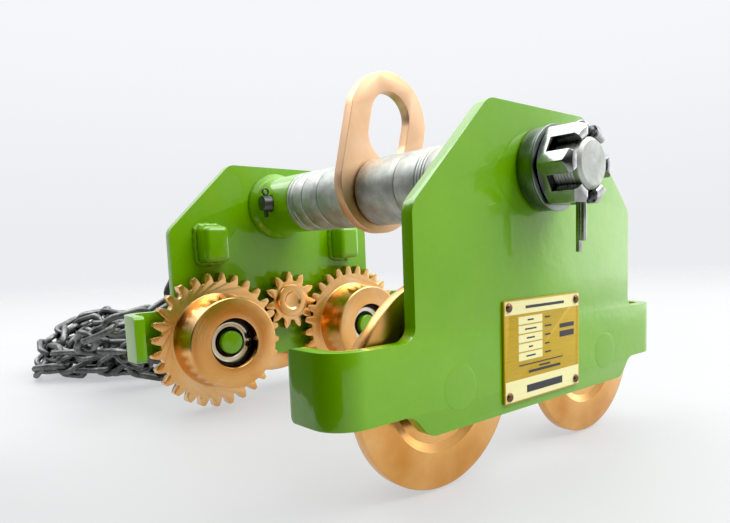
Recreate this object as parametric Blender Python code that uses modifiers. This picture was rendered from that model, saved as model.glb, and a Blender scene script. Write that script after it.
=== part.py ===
"""Geared beam trolley for a light I-beam hoist, standing upside down on its wheels.

X runs along the beam, Y across it from the plain side plate to the drive side plate, Z up. The origin
is on the floor under the middle of the trolley. Lengths are in metres.
"""

import math

import bmesh
import bpy
from mathutils import Matrix, Vector

MM = 0.001
GAP = 0.3 * MM  # left between pieces that touch
ROUND_STEPS = 16  # facets of a small round piece and of the hole round it

# Across the trolley, measured along Y from the outer face of the plain side plate.
LOAD_BAR_REACH = 27 * MM  # past the plain plate, under the castle nut
GUIDE_FAR = 274 * MM
Y_START = -(GUIDE_FAR - LOAD_BAR_REACH) / 2

# Side plates
PLATE_T = 6 * MM
PLATE_SPACING = 231.3 * MM  # from the plain plate's outer face to the drive plate's inner face
PLATE_HALF_W = 80 * MM
PLATE_TOP = 162.5 * MM
PLATE_TOP_HALF_W = 35.5 * MM
PLATE_SHOULDER = 118 * MM
PLATE_BOTTOM = 28 * MM
PLATE_CORNER_R = 9 * MM
PLATE_EDGE = 1.2 * MM
EAR_TOP = 66.4 * MM
EAR_BOTTOM = 38.2 * MM
EAR_INNER_R = 8 * MM
EAR_REACHES = (118 * MM, 113.5 * MM)
EAR_DEPTH = 29 * MM
BEND_STEPS = 6

# Wheels
WHEEL_STEPS = 40
FLANGE_R = 45 * MM
WHEEL_X = 56 * MM
AXLE_Z = FLANGE_R * math.cos(math.pi / WHEEL_STEPS)
FLANGE_GAP = 4.8 * MM  # from a side plate's inner face to the wheel flange
FLANGE_T = 6 * MM
GEAR_T = 7 * MM
TREAD_LENGTH = 22.7 * MM
TREAD_ROOT_R = 30.9 * MM
TREAD_END_R = 29.4 * MM
FACE_STEP_R = 29.2 * MM  # the flange's face is recessed inside this radius
FACE_RECESS_R = 25.5 * MM
FACE_RECESS = 1.8 * MM

# Wheel bearings, a 15 by 32 by 9 size, and the axles riveted into the side plates
BEARING_R = 16 * MM
BEARING_BORE_R = 7.5 * MM
BEARING_W = 9 * MM
BEARING_INSET = 7.2 * MM  # from the tread's end to the bearing
CIRCLIP_T = 1.3 * MM
AXLE_HEAD_R = 9.9 * MM
AXLE_SHOULDER_R = 9.2 * MM
AXLE_END = 4.4 * MM  # from the tread's end to the axle's end
RACE_INNER_R = 9.4 * MM
RACE_OUTER_R = 13.4 * MM
AXLE_COLLAR_R = 13 * MM

# Gears
MODULE = 3 * MM
GEAR_TEETH = 28
PINION_TEETH = 11
PRESSURE_ANGLE = math.radians(20)
CENTRE_DISTANCE = 60.3 * MM
PINION_SHIFT = 0.5
GEAR_SHIFT = 0.16
BACKLASH = 0.45 * MM
GEAR_PHASE = math.radians(7)
PINION_Z = AXLE_Z + math.sqrt(CENTRE_DISTANCE**2 - WHEEL_X**2)

# Load bar, its spacers and the castle nut
BAR_Z = 135.2 * MM
BAR_R = 11 * MM
SPACER_R = 19.5 * MM
SPACER_BORE_R = 11.6 * MM
SHORT_OUTER_R = 18.5 * MM
NUT_WASHER_R = 19 * MM
SOCKET_END = 186.7 * MM
CROSS_PIN_Y = 208 * MM
CROSS_PIN_R = 5 * MM
NUT_BASE = -9.5 * MM
NUT_TIP = -26.4 * MM
NUT_SLOT_START = -13.8 * MM
NUT_ACROSS_FLATS = 32.5 * MM
SLOT_W = 7.4 * MM
SPLIT_PIN_Y = -20.9 * MM

# Suspension lug, a flat eye plate on the load bar
LUG_Y = 114.4 * MM
LUG_T = 7 * MM
LUG_R = 28.6 * MM
LUG_FOOT = 5 * MM
LUG_HEAD = 43 * MM
LUG_BORE_R = 12 * MM
EYE_R = 14.6 * MM
EYE_LOW = 34.5 * MM
EYE_HIGH = 45.5 * MM
LUG_TILT = math.radians(13.8)

# Hand chain wheel and its guide
CHAIN_WHEEL_Y = 255.5 * MM
CHAIN_WHEEL_R = 54 * MM
CHAIN_WHEEL_W = 24 * MM
CHAIN_LINE_R = 51.5 * MM
CHAIN_R = 8.8 * MM
SHAFT_R = 8 * MM
BUSH_R = 11 * MM

PARTS = "beam_trolley"
CUTTERS = "cutters"


def clear_scene():
    for obj in list(bpy.data.objects):
        bpy.data.objects.remove(obj, do_unlink=True)


def collection(name):
    made = bpy.data.collections.new(name)
    bpy.context.scene.collection.children.link(made)
    return made


def material(name, colour, roughness, metallic):
    made = bpy.data.materials.new(name)
    made.use_nodes = True
    shader = made.node_tree.nodes["Principled BSDF"]
    shader.inputs["Base Color"].default_value = (*colour, 1)
    shader.inputs["Roughness"].default_value = roughness
    shader.inputs["Metallic"].default_value = metallic
    made.diffuse_color = (*colour, 1)
    return made


def across(y):
    """World Y of a distance measured from the plain plate's outer face."""
    return Y_START + y


def add(name, mesh, finish, origin=(0, 0, 0)):
    """Puts a mesh in the parts collection, as one node with its finish."""
    obj = bpy.data.objects.new(name, mesh)
    obj.location = origin
    mesh.materials.clear()
    mesh.materials.append(finish)
    bpy.data.collections[PARTS].objects.link(obj)
    return obj


def add_cutter(obj):
    obj.hide_render = True
    obj.display_type = "WIRE"
    for owner in list(obj.users_collection):
        owner.objects.unlink(obj)
    bpy.data.collections[CUTTERS].objects.link(obj)
    return obj


def smooth(obj, degrees=35):
    obj.data.shade_smooth()
    obj.data.set_sharp_from_angle(angle=math.radians(degrees))


def boolean(obj, other, operation):
    cut = obj.modifiers.new(other.name, "BOOLEAN")
    cut.operation = operation
    cut.solver = "EXACT"
    cut.object = other


def bevel(obj, width, segments=1):
    edge = obj.modifiers.new("edges", "BEVEL")
    edge.width = width
    edge.segments = segments
    edge.limit_method = "ANGLE"
    edge.angle_limit = math.radians(40)


def arc(centre, radius, start, end, steps):
    """Points on an arc from one angle to another, both ends included."""
    points = []
    for i in range(steps + 1):
        a = start + (end - start) * i / steps
        points.append((centre[0] + radius * math.cos(a), centre[1] + radius * math.sin(a)))
    return points


def circle(centre, radius, steps):
    return arc(centre, radius, 0, 2 * math.pi, steps)[:-1]


def rounded(corners, step=math.radians(18)):
    """A closed outline from (x, y, radius) corners, each one rounded by an arc."""
    points = []
    for i, (x, y, radius) in enumerate(corners):
        here = Vector((x, y))
        before = (Vector(corners[i - 1][:2]) - here).normalized()
        after = (Vector(corners[(i + 1) % len(corners)][:2]) - here).normalized()
        if radius == 0:
            points.append((x, y))
            continue
        half = before.angle(after) / 2
        centre = here + (before + after).normalized() * radius / math.sin(half)
        start = here + before * radius / math.tan(half) - centre
        turn = (math.pi - 2 * half) * (1 if before.cross(after) < 0 else -1)
        steps = max(2, math.ceil(abs(turn) / step))
        first = math.atan2(start.y, start.x)
        points += arc(centre, radius, first, first + turn, steps)
    return points


def mirrored(corners):
    """Corners of the +X half, listed top to bottom, and then their mirror images back up."""
    return corners + [(-x, y, radius) for x, y, radius in reversed(corners)]


def flat_mesh(name, outlines, thickness):
    """A flat solid in the XY plane, centred on z = 0, from an outline and the outlines of its holes."""
    curve = bpy.data.curves.new(name, "CURVE")
    curve.dimensions = "2D"
    curve.fill_mode = "BOTH"
    curve.extrude = thickness / 2
    for outline in outlines:
        spline = curve.splines.new("POLY")
        spline.points.add(len(outline) - 1)
        for point, (x, y) in zip(spline.points, outline):
            point.co = (x, y, 0, 1)
        spline.use_cyclic_u = True
    obj = bpy.data.objects.new(name, curve)
    bpy.context.scene.collection.objects.link(obj)
    bpy.context.view_layer.update()
    mesh = bpy.data.meshes.new_from_object(obj.evaluated_get(bpy.context.evaluated_depsgraph_get()))
    bpy.data.objects.remove(obj)
    bpy.data.curves.remove(curve)
    return welded(mesh)


def welded(mesh):
    body = bmesh.new()
    body.from_mesh(mesh)
    bmesh.ops.remove_doubles(body, verts=body.verts, dist=1e-6)
    bmesh.ops.recalc_face_normals(body, faces=body.faces)
    body.to_mesh(mesh)
    body.free()
    return mesh


def upright(mesh):
    """Stands a flat solid up, so that its local Y becomes world Z and its thickness runs along Y."""
    mesh.transform(Matrix.Rotation(math.pi / 2, 4, "X"))
    return mesh


def upright_plate(name, outlines, y_near, thickness, finish, origin=(0, 0)):
    """A flat solid in the XZ plane whose near face is y_near from the plain plate's outer face."""
    mesh = upright(flat_mesh(name, outlines, thickness))
    return add(name, mesh, finish, (origin[0], across(y_near + thickness / 2), origin[1]))


def turned(name, profile, finish, steps, centre, closed):
    """A solid of revolution about a line along Y through centre (x, z).

    profile lists (radius, y) points that run down the outer side, from far to near. A closed profile
    makes a ring. An open one starts and ends on the axis.
    """
    mesh = bpy.data.meshes.new(name)
    count = len(profile)
    edges = [(i, i + 1) for i in range(count - 1)]
    if closed:
        edges.append((count - 1, 0))
    middle = sum(y for _, y in profile) / count
    mesh.from_pydata([(radius, 0, y - middle) for radius, y in profile], edges, [])
    obj = add(name, mesh, finish, (centre[0], across(middle), centre[1]))
    obj.rotation_euler = (-math.pi / 2, 0, 0)
    screw = obj.modifiers.new("turn", "SCREW")
    screw.axis = "Z"
    screw.steps = steps
    screw.render_steps = steps
    screw.use_merge_vertices = True
    screw.merge_threshold = 1e-5
    screw.use_smooth_shade = True
    return obj


def ring(name, radius, bore, y_near, y_far, finish, centre, steps=20):
    profile = [(radius, y_far), (radius, y_near), (bore, y_near), (bore, y_far)]
    return turned(name, profile, finish, steps, centre, closed=True)


def cylinder_mesh(name, radius, length, steps, axis):
    """A cylinder centred on the origin, along X, Y or Z."""
    body = bmesh.new()
    bmesh.ops.create_cone(
        body, cap_ends=True, segments=steps, radius1=radius, radius2=radius, depth=length
    )
    if axis == "X":
        body.transform(Matrix.Rotation(math.pi / 2, 4, "Y"))
    if axis == "Y":
        body.transform(Matrix.Rotation(math.pi / 2, 4, "X"))
    mesh = bpy.data.meshes.new(name)
    body.to_mesh(mesh)
    body.free()
    return mesh


def cylinder_cutter(name, radius, length, centre, axis, steps=16):
    obj = bpy.data.objects.new(name, cylinder_mesh(name, radius, length, steps, axis))
    obj.location = centre
    return add_cutter(obj)


def box_mesh(name, size):
    body = bmesh.new()
    bmesh.ops.create_cube(body, size=1)
    bmesh.ops.scale(body, vec=size, verts=body.verts)
    mesh = bpy.data.meshes.new(name)
    body.to_mesh(mesh)
    body.free()
    return mesh


def tube_mesh(name, points, radius, resolution):
    """A round wire along a row of points, with closed ends, as a welded mesh."""
    curve = bpy.data.curves.new(name, "CURVE")
    curve.dimensions = "3D"
    curve.bevel_depth = radius
    curve.bevel_resolution = resolution
    curve.use_fill_caps = True
    spline = curve.splines.new("POLY")
    spline.points.add(len(points) - 1)
    for point, place in zip(spline.points, points):
        point.co = (*place, 1)
    obj = bpy.data.objects.new(name, curve)
    bpy.context.scene.collection.objects.link(obj)
    bpy.context.view_layer.update()
    mesh = bpy.data.meshes.new_from_object(obj.evaluated_get(bpy.context.evaluated_depsgraph_get()))
    bpy.data.objects.remove(obj)
    bpy.data.curves.remove(curve)
    return welded(mesh)


def bend_ears(mesh, reaches):
    """Bends both ends of a flat blank, in the XZ plane, towards +Y to ears of those reaches in X."""
    outer_r = EAR_INNER_R + PLATE_T
    neutral_r = EAR_INNER_R + PLATE_T / 2
    body = bmesh.new()
    body.from_mesh(mesh)
    for side, reach in zip((-1, 1), reaches):
        for i in range(BEND_STEPS + 1):
            cut_x = side * (reach - outer_r + neutral_r * math.pi / 2 * i / BEND_STEPS)
            bmesh.ops.bisect_plane(
                body,
                geom=body.verts[:] + body.edges[:] + body.faces[:],
                plane_co=(cut_x, 0, 0),
                plane_no=(1, 0, 0),
            )
    for vert in body.verts:
        start = reaches[vert.co.x > 0] - outer_r
        past = abs(vert.co.x) - start
        if past <= 0:
            continue
        depth = vert.co.y
        angle = min(past / neutral_r, math.pi / 2)
        straight = past - angle * neutral_r
        x = start + (outer_r - depth) * math.sin(angle)
        vert.co.x = math.copysign(x, vert.co.x)
        vert.co.y = outer_r - (outer_r - depth) * math.cos(angle) + straight
    bmesh.ops.recalc_face_normals(body, faces=body.faces)
    body.to_mesh(mesh)
    body.free()


def half_blank(reach):
    """The corners of the flat blank's right half, for an ear of that reach."""
    outer_r = EAR_INNER_R + PLATE_T
    bend_length = (EAR_INNER_R + PLATE_T / 2) * math.pi / 2
    end = reach - outer_r + bend_length + EAR_DEPTH - outer_r
    return [
        (PLATE_TOP_HALF_W, PLATE_TOP, PLATE_CORNER_R),
        (PLATE_HALF_W, PLATE_SHOULDER, PLATE_CORNER_R),
        (PLATE_HALF_W, EAR_TOP, 6 * MM),
        (end, EAR_TOP, 2.5 * MM),
        (end, EAR_BOTTOM, 2.5 * MM),
        (82.5 * MM, EAR_BOTTOM, 8 * MM),
        (73.5 * MM, PLATE_BOTTOM, 8 * MM),
    ]


def side_plate(name, reaches, holes, finish):
    """A side plate with bent ears, its outer face on y = 0 and its ears towards +Y."""
    front = [(-x, y, radius) for x, y, radius in reversed(half_blank(reaches[0]))]
    outline = rounded(half_blank(reaches[1]) + front)
    mesh = upright(flat_mesh(name, [outline, *holes], PLATE_T))
    mesh.transform(Matrix.Translation((0, PLATE_T / 2, 0)))
    bend_ears(mesh, reaches)
    obj = add(name, mesh, finish)
    bevel(obj, PLATE_EDGE)
    smooth(obj)
    return obj


def axle_holes():
    return [circle((side * WHEEL_X, AXLE_Z), AXLE_HEAD_R + GAP, ROUND_STEPS) for side in (-1, 1)]


LABEL_HALF_W = 29.2 * MM
LABEL_LOW = 32 * MM
LABEL_HIGH = 78 * MM
LABEL_T = 1 * MM
RIVET_INSET = 3.2 * MM
RIVET_R = 1.1 * MM


def rivet_places():
    places = []
    for x in (RIVET_INSET - LABEL_HALF_W, LABEL_HALF_W - RIVET_INSET):
        for z in (LABEL_LOW + RIVET_INSET, LABEL_HIGH - RIVET_INSET):
            places.append((x, z))
    return places


def plain_side_plate(paint):
    holes = axle_holes() + [circle((0, BAR_Z), BAR_R + GAP, 20)]
    holes += [circle(place, RIVET_R + GAP, 8) for place in rivet_places()]
    obj = side_plate("side_plate_plain", EAR_REACHES, holes, paint)
    obj.location = (0, across(0), 0)


GUIDE_TAB_X = 72.5 * MM
GUIDE_BOLT_Z = 73 * MM
GUIDE_BOLT_R = 3 * MM


def drive_side_plate(paint):
    holes = axle_holes() + [circle((0, BAR_Z), BAR_R + GAP, 20)]
    holes.append(circle((0, PINION_Z), BUSH_R + GAP, 20))
    holes += [circle((side * GUIDE_TAB_X, GUIDE_BOLT_Z), GUIDE_BOLT_R + GAP, 10) for side in (-1, 1)]
    obj = side_plate("side_plate_drive", EAR_REACHES, holes, paint)
    obj.location = (0, across(PLATE_SPACING + PLATE_T), 0)
    obj.rotation_euler = (0, 0, math.pi)


ANTI_TILT_SIZE = (18.5 * MM, 15 * MM, 25 * MM)
ANTI_TILT_X = 54 * MM
ANTI_TILT_Z = 108.5 * MM


def anti_tilt_lugs(paint):
    """Blocks welded inside both side plates, which stop the trolley tipping off the beam's flange."""
    depth = ANTI_TILT_SIZE[1]
    rows = (
        ("plain", PLATE_T + GAP + depth / 2),
        ("drive", PLATE_SPACING - GAP - depth / 2),
    )
    for plate, y in rows:
        for end, side in (("front", -1), ("rear", 1)):
            name = f"anti_tilt_lug_{plate}_{end}"
            obj = add(name, box_mesh(name, ANTI_TILT_SIZE), paint)
            obj.location = (side * ANTI_TILT_X, across(y), ANTI_TILT_Z)
            bevel(obj, 3.5 * MM, 2)
            smooth(obj)


def load_bar_socket(paint):
    """The tube welded inside the drive plate, which holds the load bar and its cross pin."""
    foot = PLATE_SPACING - GAP
    profile = [
        (SPACER_R + 4 * MM, foot),
        (SPACER_R, foot - 5 * MM),
        (SPACER_R, SOCKET_END),
        (BAR_R + GAP, SOCKET_END),
        (BAR_R + GAP, foot),
    ]
    obj = turned("load_bar_socket", profile, paint, 20, (0, BAR_Z), closed=True)
    place = (0, across(CROSS_PIN_Y), BAR_Z)
    boolean(obj, cylinder_cutter("socket_cross_hole", 5.6 * MM, 60 * MM, place, "X"), "DIFFERENCE")


def load_bar(steel):
    end = -LOAD_BAR_REACH
    far = PLATE_SPACING + PLATE_T - 0.5 * MM
    profile = [
        (0, far),
        (BAR_R - 1 * MM, far),
        (BAR_R, far - 1 * MM),
        (BAR_R, end + 1.5 * MM),
        (BAR_R - 1.5 * MM, end),
        (0, end),
    ]
    obj = turned("load_bar", profile, steel, 20, (0, BAR_Z), closed=False)
    place = (0, across(CROSS_PIN_Y), BAR_Z)
    boolean(obj, cylinder_cutter("bar_cross_hole", CROSS_PIN_R + GAP, 40 * MM, place, "X"), "DIFFERENCE")
    place = (0, across(SPLIT_PIN_Y), BAR_Z)
    boolean(obj, cylinder_cutter("bar_split_pin_hole", 3 * MM, 40 * MM, place, "Z"), "DIFFERENCE")


def castle_nut(steel):
    """A slotted hexagon nut on the load bar's threaded end, its slots in the middle of the flats."""
    height = NUT_BASE - NUT_TIP
    middle = (NUT_BASE + NUT_TIP) / 2
    corner_r = NUT_ACROSS_FLATS / 2 / math.cos(math.pi / 6)
    hexagon = circle((0, 0), corner_r, 6)
    bore = circle((0, 0), BAR_R + GAP, 20)
    obj = upright_plate("castle_nut", [hexagon, bore], NUT_TIP, height, steel, (0, BAR_Z))
    for i in range(3):
        name = f"nut_slot_{i}"
        slot = bpy.data.objects.new(name, box_mesh(name, (SLOT_W, 16 * MM, 60 * MM)))
        slot.location = (0, across(NUT_SLOT_START - 8 * MM), BAR_Z)
        slot.rotation_euler = (0, i * math.pi / 3, 0)
        boolean(obj, add_cutter(slot), "DIFFERENCE")
    chamfer = nut_chamfer(height, middle, corner_r)
    boolean(obj, chamfer, "INTERSECT")


def nut_chamfer(height, middle, corner_r):
    """The turned blank that rounds a nut's corners at both of its ends."""
    low, high = middle - height / 2, middle + height / 2
    flat_r = NUT_ACROSS_FLATS / 2
    profile = [
        (0, high + GAP),
        (flat_r, high + GAP),
        (flat_r, high),
        (corner_r + 0.2 * MM, high - 1.8 * MM),
        (corner_r + 0.2 * MM, low + 2.6 * MM),
        (flat_r - 1 * MM, low),
        (flat_r - 1 * MM, low - GAP),
        (0, low - GAP),
    ]
    steel = bpy.data.materials["zinc_steel"]
    return add_cutter(turned("nut_chamfer", profile, steel, 24, (0, BAR_Z), closed=False))


def split_pin(name, wire_r, eye_r, leg_lengths, steel):
    """A split pin hanging down from its eye: a wire bent into a loop, with two legs side by side."""
    leg_x = wire_r + 0.2 * MM
    neck = math.asin(leg_x / eye_r)
    loop = arc((0, eye_r * math.cos(neck)), eye_r, -math.pi / 2 + neck, 1.5 * math.pi - neck, 10)
    points = [(leg_x, 0, -leg_lengths[0])]
    points += [(x, 0, z) for x, z in loop]
    points.append((-leg_x, 0, -leg_lengths[1]))
    mesh = tube_mesh(name, points, wire_r, 1)
    return add(name, mesh, steel)


def nut_split_pin(steel):
    pin = split_pin("castle_nut_split_pin", 1.1 * MM, 2.4 * MM, (45.5 * MM, 50.3 * MM), steel)
    pin.location = (0, across(SPLIT_PIN_Y), BAR_Z + 13.2 * MM)
    pin.rotation_euler = (0, 0, -math.pi / 2)


def socket_pin(steel):
    """The cross pin that holds the load bar in its socket, with a head at +X and a hole at -X."""
    name = "socket_cross_pin"
    obj = add(name, cylinder_mesh(name, CROSS_PIN_R, 47 * MM, 16, "X"), steel)
    obj.location = (-2 * MM, across(CROSS_PIN_Y), BAR_Z)
    head_name = "cross_pin_head"
    head = bpy.data.objects.new(head_name, cylinder_mesh(head_name, 8 * MM, 5 * MM, 16, "X"))
    head.location = (23.2 * MM, across(CROSS_PIN_Y), BAR_Z)
    boolean(obj, add_cutter(head), "UNION")
    place = (-22.3 * MM, across(CROSS_PIN_Y), BAR_Z)
    boolean(obj, cylinder_cutter("cross_pin_hole", 1.7 * MM, 20 * MM, place, "Z", 12), "DIFFERENCE")


def socket_split_pin(steel):
    pin = split_pin("socket_split_pin", 0.65 * MM, 2.2 * MM, (15 * MM, 15.5 * MM), steel)
    pin.location = (-22.3 * MM, across(CROSS_PIN_Y), BAR_Z + 5.9 * MM)


SPACERS = (
    ("spacer_washer_far", 183.6, 186.7),
    ("spacer_thin_far", 179.4, 183.6),
    ("spacer_short_far", 168.6, 179.4),
    ("spacer_medium_far", 151.8, 168.6),
    ("spacer_long_far", 122.4, 151.8),
    ("spacer_long_near", 80.1, 113.4),
    ("spacer_medium_near", 63.8, 80.1),
    ("shim_washer_1", 61.6, 63.8),
    ("shim_washer_2", 59.4, 61.6),
    ("shim_washer_3", 57.2, 59.4),
    ("spacer_tube_near", 6.3, 57.2),
    ("spacer_short_outer", -8.1, -0.3),
)


def spacers(steel):
    """The loose rings on the load bar that set how wide a beam the trolley fits."""
    for name, near, far in SPACERS:
        outer = SHORT_OUTER_R if name == "spacer_short_outer" else SPACER_R
        ring(name, outer, SPACER_BORE_R, near * MM, far * MM - GAP, steel, (0, BAR_Z))
    ring("nut_washer", NUT_WASHER_R, SPACER_BORE_R, -9.2 * MM, -8.1 * MM, steel, (0, BAR_Z))


def suspension_lug(gold):
    """The eye plate that the hoist hangs from. Its origin is on the load bar's axis."""
    outline = arc((0, LUG_FOOT), LUG_R, math.pi, 2 * math.pi, 16)
    outline += arc((0, LUG_HEAD), LUG_R, 0, math.pi, 16)
    eye = arc((0, EYE_LOW), EYE_R, math.pi, 2 * math.pi, 10)
    eye += arc((0, EYE_HIGH), EYE_R, 0, math.pi, 10)
    bore = circle((0, 0), LUG_BORE_R, 20)
    obj = upright_plate("suspension_lug", [outline, eye, bore], LUG_Y, LUG_T, gold, (0, BAR_Z))
    obj.rotation_euler = (0, LUG_TILT, 0)
    smooth(obj)


def wheel_bore(flange_y, end_y):
    """The stepped bore of a wheel, from the tread's end back to the flange's face.

    It holds the bearing against a shoulder, and has a groove for the circlip. end_y is on the
    side that faces the beam, and the profile runs from there to the flange.
    """
    into = 1 if flange_y > end_y else -1
    bearing = end_y + into * BEARING_INSET
    groove = bearing - into * (CIRCLIP_T + 0.5 * MM)
    return [
        (BEARING_R, end_y),
        (BEARING_R, groove),
        (BEARING_R + 1 * MM, groove),
        (BEARING_R + 1 * MM, bearing - into * 0.2 * MM),
        (BEARING_R, bearing - into * 0.2 * MM),
        (BEARING_R, bearing + into * (BEARING_W + GAP)),
        (AXLE_COLLAR_R + 0.6 * MM, bearing + into * (BEARING_W + GAP)),
        (AXLE_COLLAR_R + 0.6 * MM, flange_y),
    ]


def plain_wheel(name, x, gold):
    near = PLATE_T + FLANGE_GAP
    flange_far = near + FLANGE_T
    far = flange_far + TREAD_LENGTH
    bore = wheel_bore(near, far)
    profile = [
        (TREAD_END_R - 1 * MM, far),
        (TREAD_END_R, far - 1 * MM),
        (TREAD_ROOT_R, flange_far),
        (FLANGE_R - 1 * MM, flange_far),
        (FLANGE_R, flange_far - 1 * MM),
        (FLANGE_R, near),
        (FACE_STEP_R, near),
        (FACE_RECESS_R, near + FACE_RECESS),
    ]
    bore[-1] = (bore[-1][0], near + FACE_RECESS)
    obj = turned(name, profile + bore[::-1], gold, WHEEL_STEPS, (x, AXLE_Z), closed=True)
    half_step = math.pi / WHEEL_STEPS
    obj.rotation_euler = (Matrix.Rotation(half_step, 3, "Y") @ Matrix.Rotation(-math.pi / 2, 3, "X")).to_euler()


def involute(angle):
    return math.tan(angle) - angle


def gear_outline(teeth, shift, tip_r, phase):
    """The outline of a spur gear with involute flanks, one tooth centred on the phase angle."""
    pitch_r = MODULE * teeth / 2
    base_r = pitch_r * math.cos(PRESSURE_ANGLE)
    root_r = pitch_r + MODULE * (shift - 1.25)
    thickness = MODULE * (math.pi / 2 + 2 * shift * math.tan(PRESSURE_ANGLE)) - BACKLASH / 2
    half_angle = thickness / (2 * pitch_r) + involute(PRESSURE_ANGLE)
    start_r = max(base_r, root_r + 0.5 * MM)
    steps = 2
    flank = []
    for i in range(steps + 1):
        radius = start_r + (tip_r - start_r) * i / steps
        flank.append((radius, half_angle - involute(math.acos(base_r / radius))))
    root_half = math.pi / teeth - flank[0][1]
    flank.insert(0, (root_r, flank[0][1] + 0.3 * root_half))
    points = []
    for i in range(teeth):
        middle = phase + 2 * math.pi * i / teeth
        polar = [(r, middle - a) for r, a in flank] + [(r, middle + a) for r, a in reversed(flank)]
        points += [(r * math.cos(a), r * math.sin(a)) for r, a in polar]
    return points


def rear_gear_phase():
    """The phase of the rear wheel's gear that meshes with the pinion as the front one sets it."""
    space = pinion_phase() + math.pi / PINION_TEETH
    line = math.atan2(PINION_Z - AXLE_Z, WHEEL_X)
    offset = (-line - space) / (2 * math.pi / PINION_TEETH)
    return math.pi - line + offset * 2 * math.pi / GEAR_TEETH


def pinion_phase():
    """The phase of the pinion that puts a tooth space opposite the front wheel's tooth."""
    line = math.atan2(PINION_Z - AXLE_Z, WHEEL_X)
    offset = (GEAR_PHASE - line) / (2 * math.pi / GEAR_TEETH)
    space = math.pi + line - offset * 2 * math.pi / PINION_TEETH
    return space + math.pi / PINION_TEETH


def gear_wheel(name, x, phase, gold):
    """A driven wheel: a toothed flange with the tread cast in one with it."""
    far = PLATE_SPACING - FLANGE_GAP
    gear_near = far - GEAR_T
    end = gear_near - TREAD_LENGTH
    teeth = gear_outline(GEAR_TEETH, GEAR_SHIFT, AXLE_Z, phase)
    hole = circle((0, 0), BEARING_R + 3 * MM, 20)
    obj = upright_plate(name, [teeth, hole], gear_near, GEAR_T, gold, (x, AXLE_Z))
    bore = wheel_bore(far, end)
    profile = [
        (BEARING_R + 6 * MM, far - 1 * MM),
        (TREAD_ROOT_R, far - 1 * MM),
        (TREAD_END_R, end + 1 * MM),
        (TREAD_END_R - 1 * MM, end),
    ]
    profile += bore[:-1]
    profile += [(AXLE_COLLAR_R + 0.6 * MM, far - 0.4 * MM), (BEARING_R + 6 * MM, far - 0.4 * MM)]
    hub = turned(f"{name}_tread", profile, gold, WHEEL_STEPS, (x, AXLE_Z), closed=True)
    boolean(obj, add_cutter(hub), "UNION")


def wheel_places():
    """(name, x, outer face of the side plate, direction towards the beam) of each wheel."""
    far = PLATE_SPACING + PLATE_T
    return (
        ("plain_front", -WHEEL_X, 0, 1),
        ("plain_rear", WHEEL_X, 0, 1),
        ("gear_front", -WHEEL_X, far, -1),
        ("gear_rear", WHEEL_X, far, -1),
    )


def ordered(profile, inward):
    """A profile written from the plate towards the beam, turned round where the beam is at +Y."""
    return profile if inward < 0 else profile[::-1]


def wheel_fittings(finishes):
    """The axle, bearing races and circlip of each wheel, mirrored for the two side plates."""
    for name, x, plate, inward in wheel_places():
        flange = FLANGE_T if "plain" in name else GEAR_T
        end = PLATE_T + FLANGE_GAP + flange + TREAD_LENGTH
        race_far = end - BEARING_INSET - 0.1 * MM
        race_near = race_far - BEARING_W + 0.2 * MM

        def at(depth, plate=plate, inward=inward):
            return plate + inward * depth

        centre = (x, AXLE_Z)
        axle = [
            (0, at(0.1 * MM)),
            (AXLE_HEAD_R, at(0.1 * MM)),
            (AXLE_HEAD_R, at(PLATE_T + GAP)),
            (AXLE_COLLAR_R, at(PLATE_T + GAP)),
            (AXLE_COLLAR_R, at(PLATE_T + 3 * MM)),
            (AXLE_SHOULDER_R, at(PLATE_T + 3 * MM)),
            (AXLE_SHOULDER_R, at(race_near - GAP)),
            (BEARING_BORE_R, at(race_near - GAP)),
            (BEARING_BORE_R, at(end - AXLE_END - 0.8 * MM)),
            (BEARING_BORE_R - 0.8 * MM, at(end - AXLE_END)),
            (0, at(end - AXLE_END)),
        ]
        turned(f"axle_{name}", ordered(axle, inward), finishes["steel"], ROUND_STEPS, centre, closed=False)
        inner = [
            (RACE_INNER_R, at(race_near)),
            (RACE_INNER_R, at(race_far)),
            (BEARING_BORE_R + GAP, at(race_far)),
            (BEARING_BORE_R + GAP, at(race_near)),
        ]
        turned(f"bearing_inner_{name}", ordered(inner, inward), finishes["race"], ROUND_STEPS, centre, closed=True)
        seal = race_far - 0.8 * MM
        outer = [
            (BEARING_R - GAP, at(race_near)),
            (BEARING_R - GAP, at(race_far)),
            (RACE_INNER_R + GAP, at(race_far)),
            (RACE_INNER_R + GAP, at(seal)),
            (RACE_OUTER_R, at(seal)),
            (RACE_OUTER_R, at(race_near)),
        ]
        turned(f"bearing_outer_{name}", ordered(outer, inward), finishes["race"], ROUND_STEPS, centre, closed=True)
        circlip(f"circlip_{name}", centre, at(race_far + GAP), inward, finishes["zinc"])


def circlip(name, centre, y, inward, steel):
    """An internal retaining ring, open at +X, in the wheel's groove next to the bearing."""
    half_gap = math.radians(13)
    outer = arc((0, 0), BEARING_R + 0.6 * MM, half_gap, 2 * math.pi - half_gap, 16)
    inner = arc((0, 0), BEARING_R - 2.6 * MM, 2 * math.pi - half_gap, half_gap, 16)
    near = min(y, y + inward * CIRCLIP_T)
    upright_plate(name, [outer + inner], near, CIRCLIP_T, steel, centre)


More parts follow.
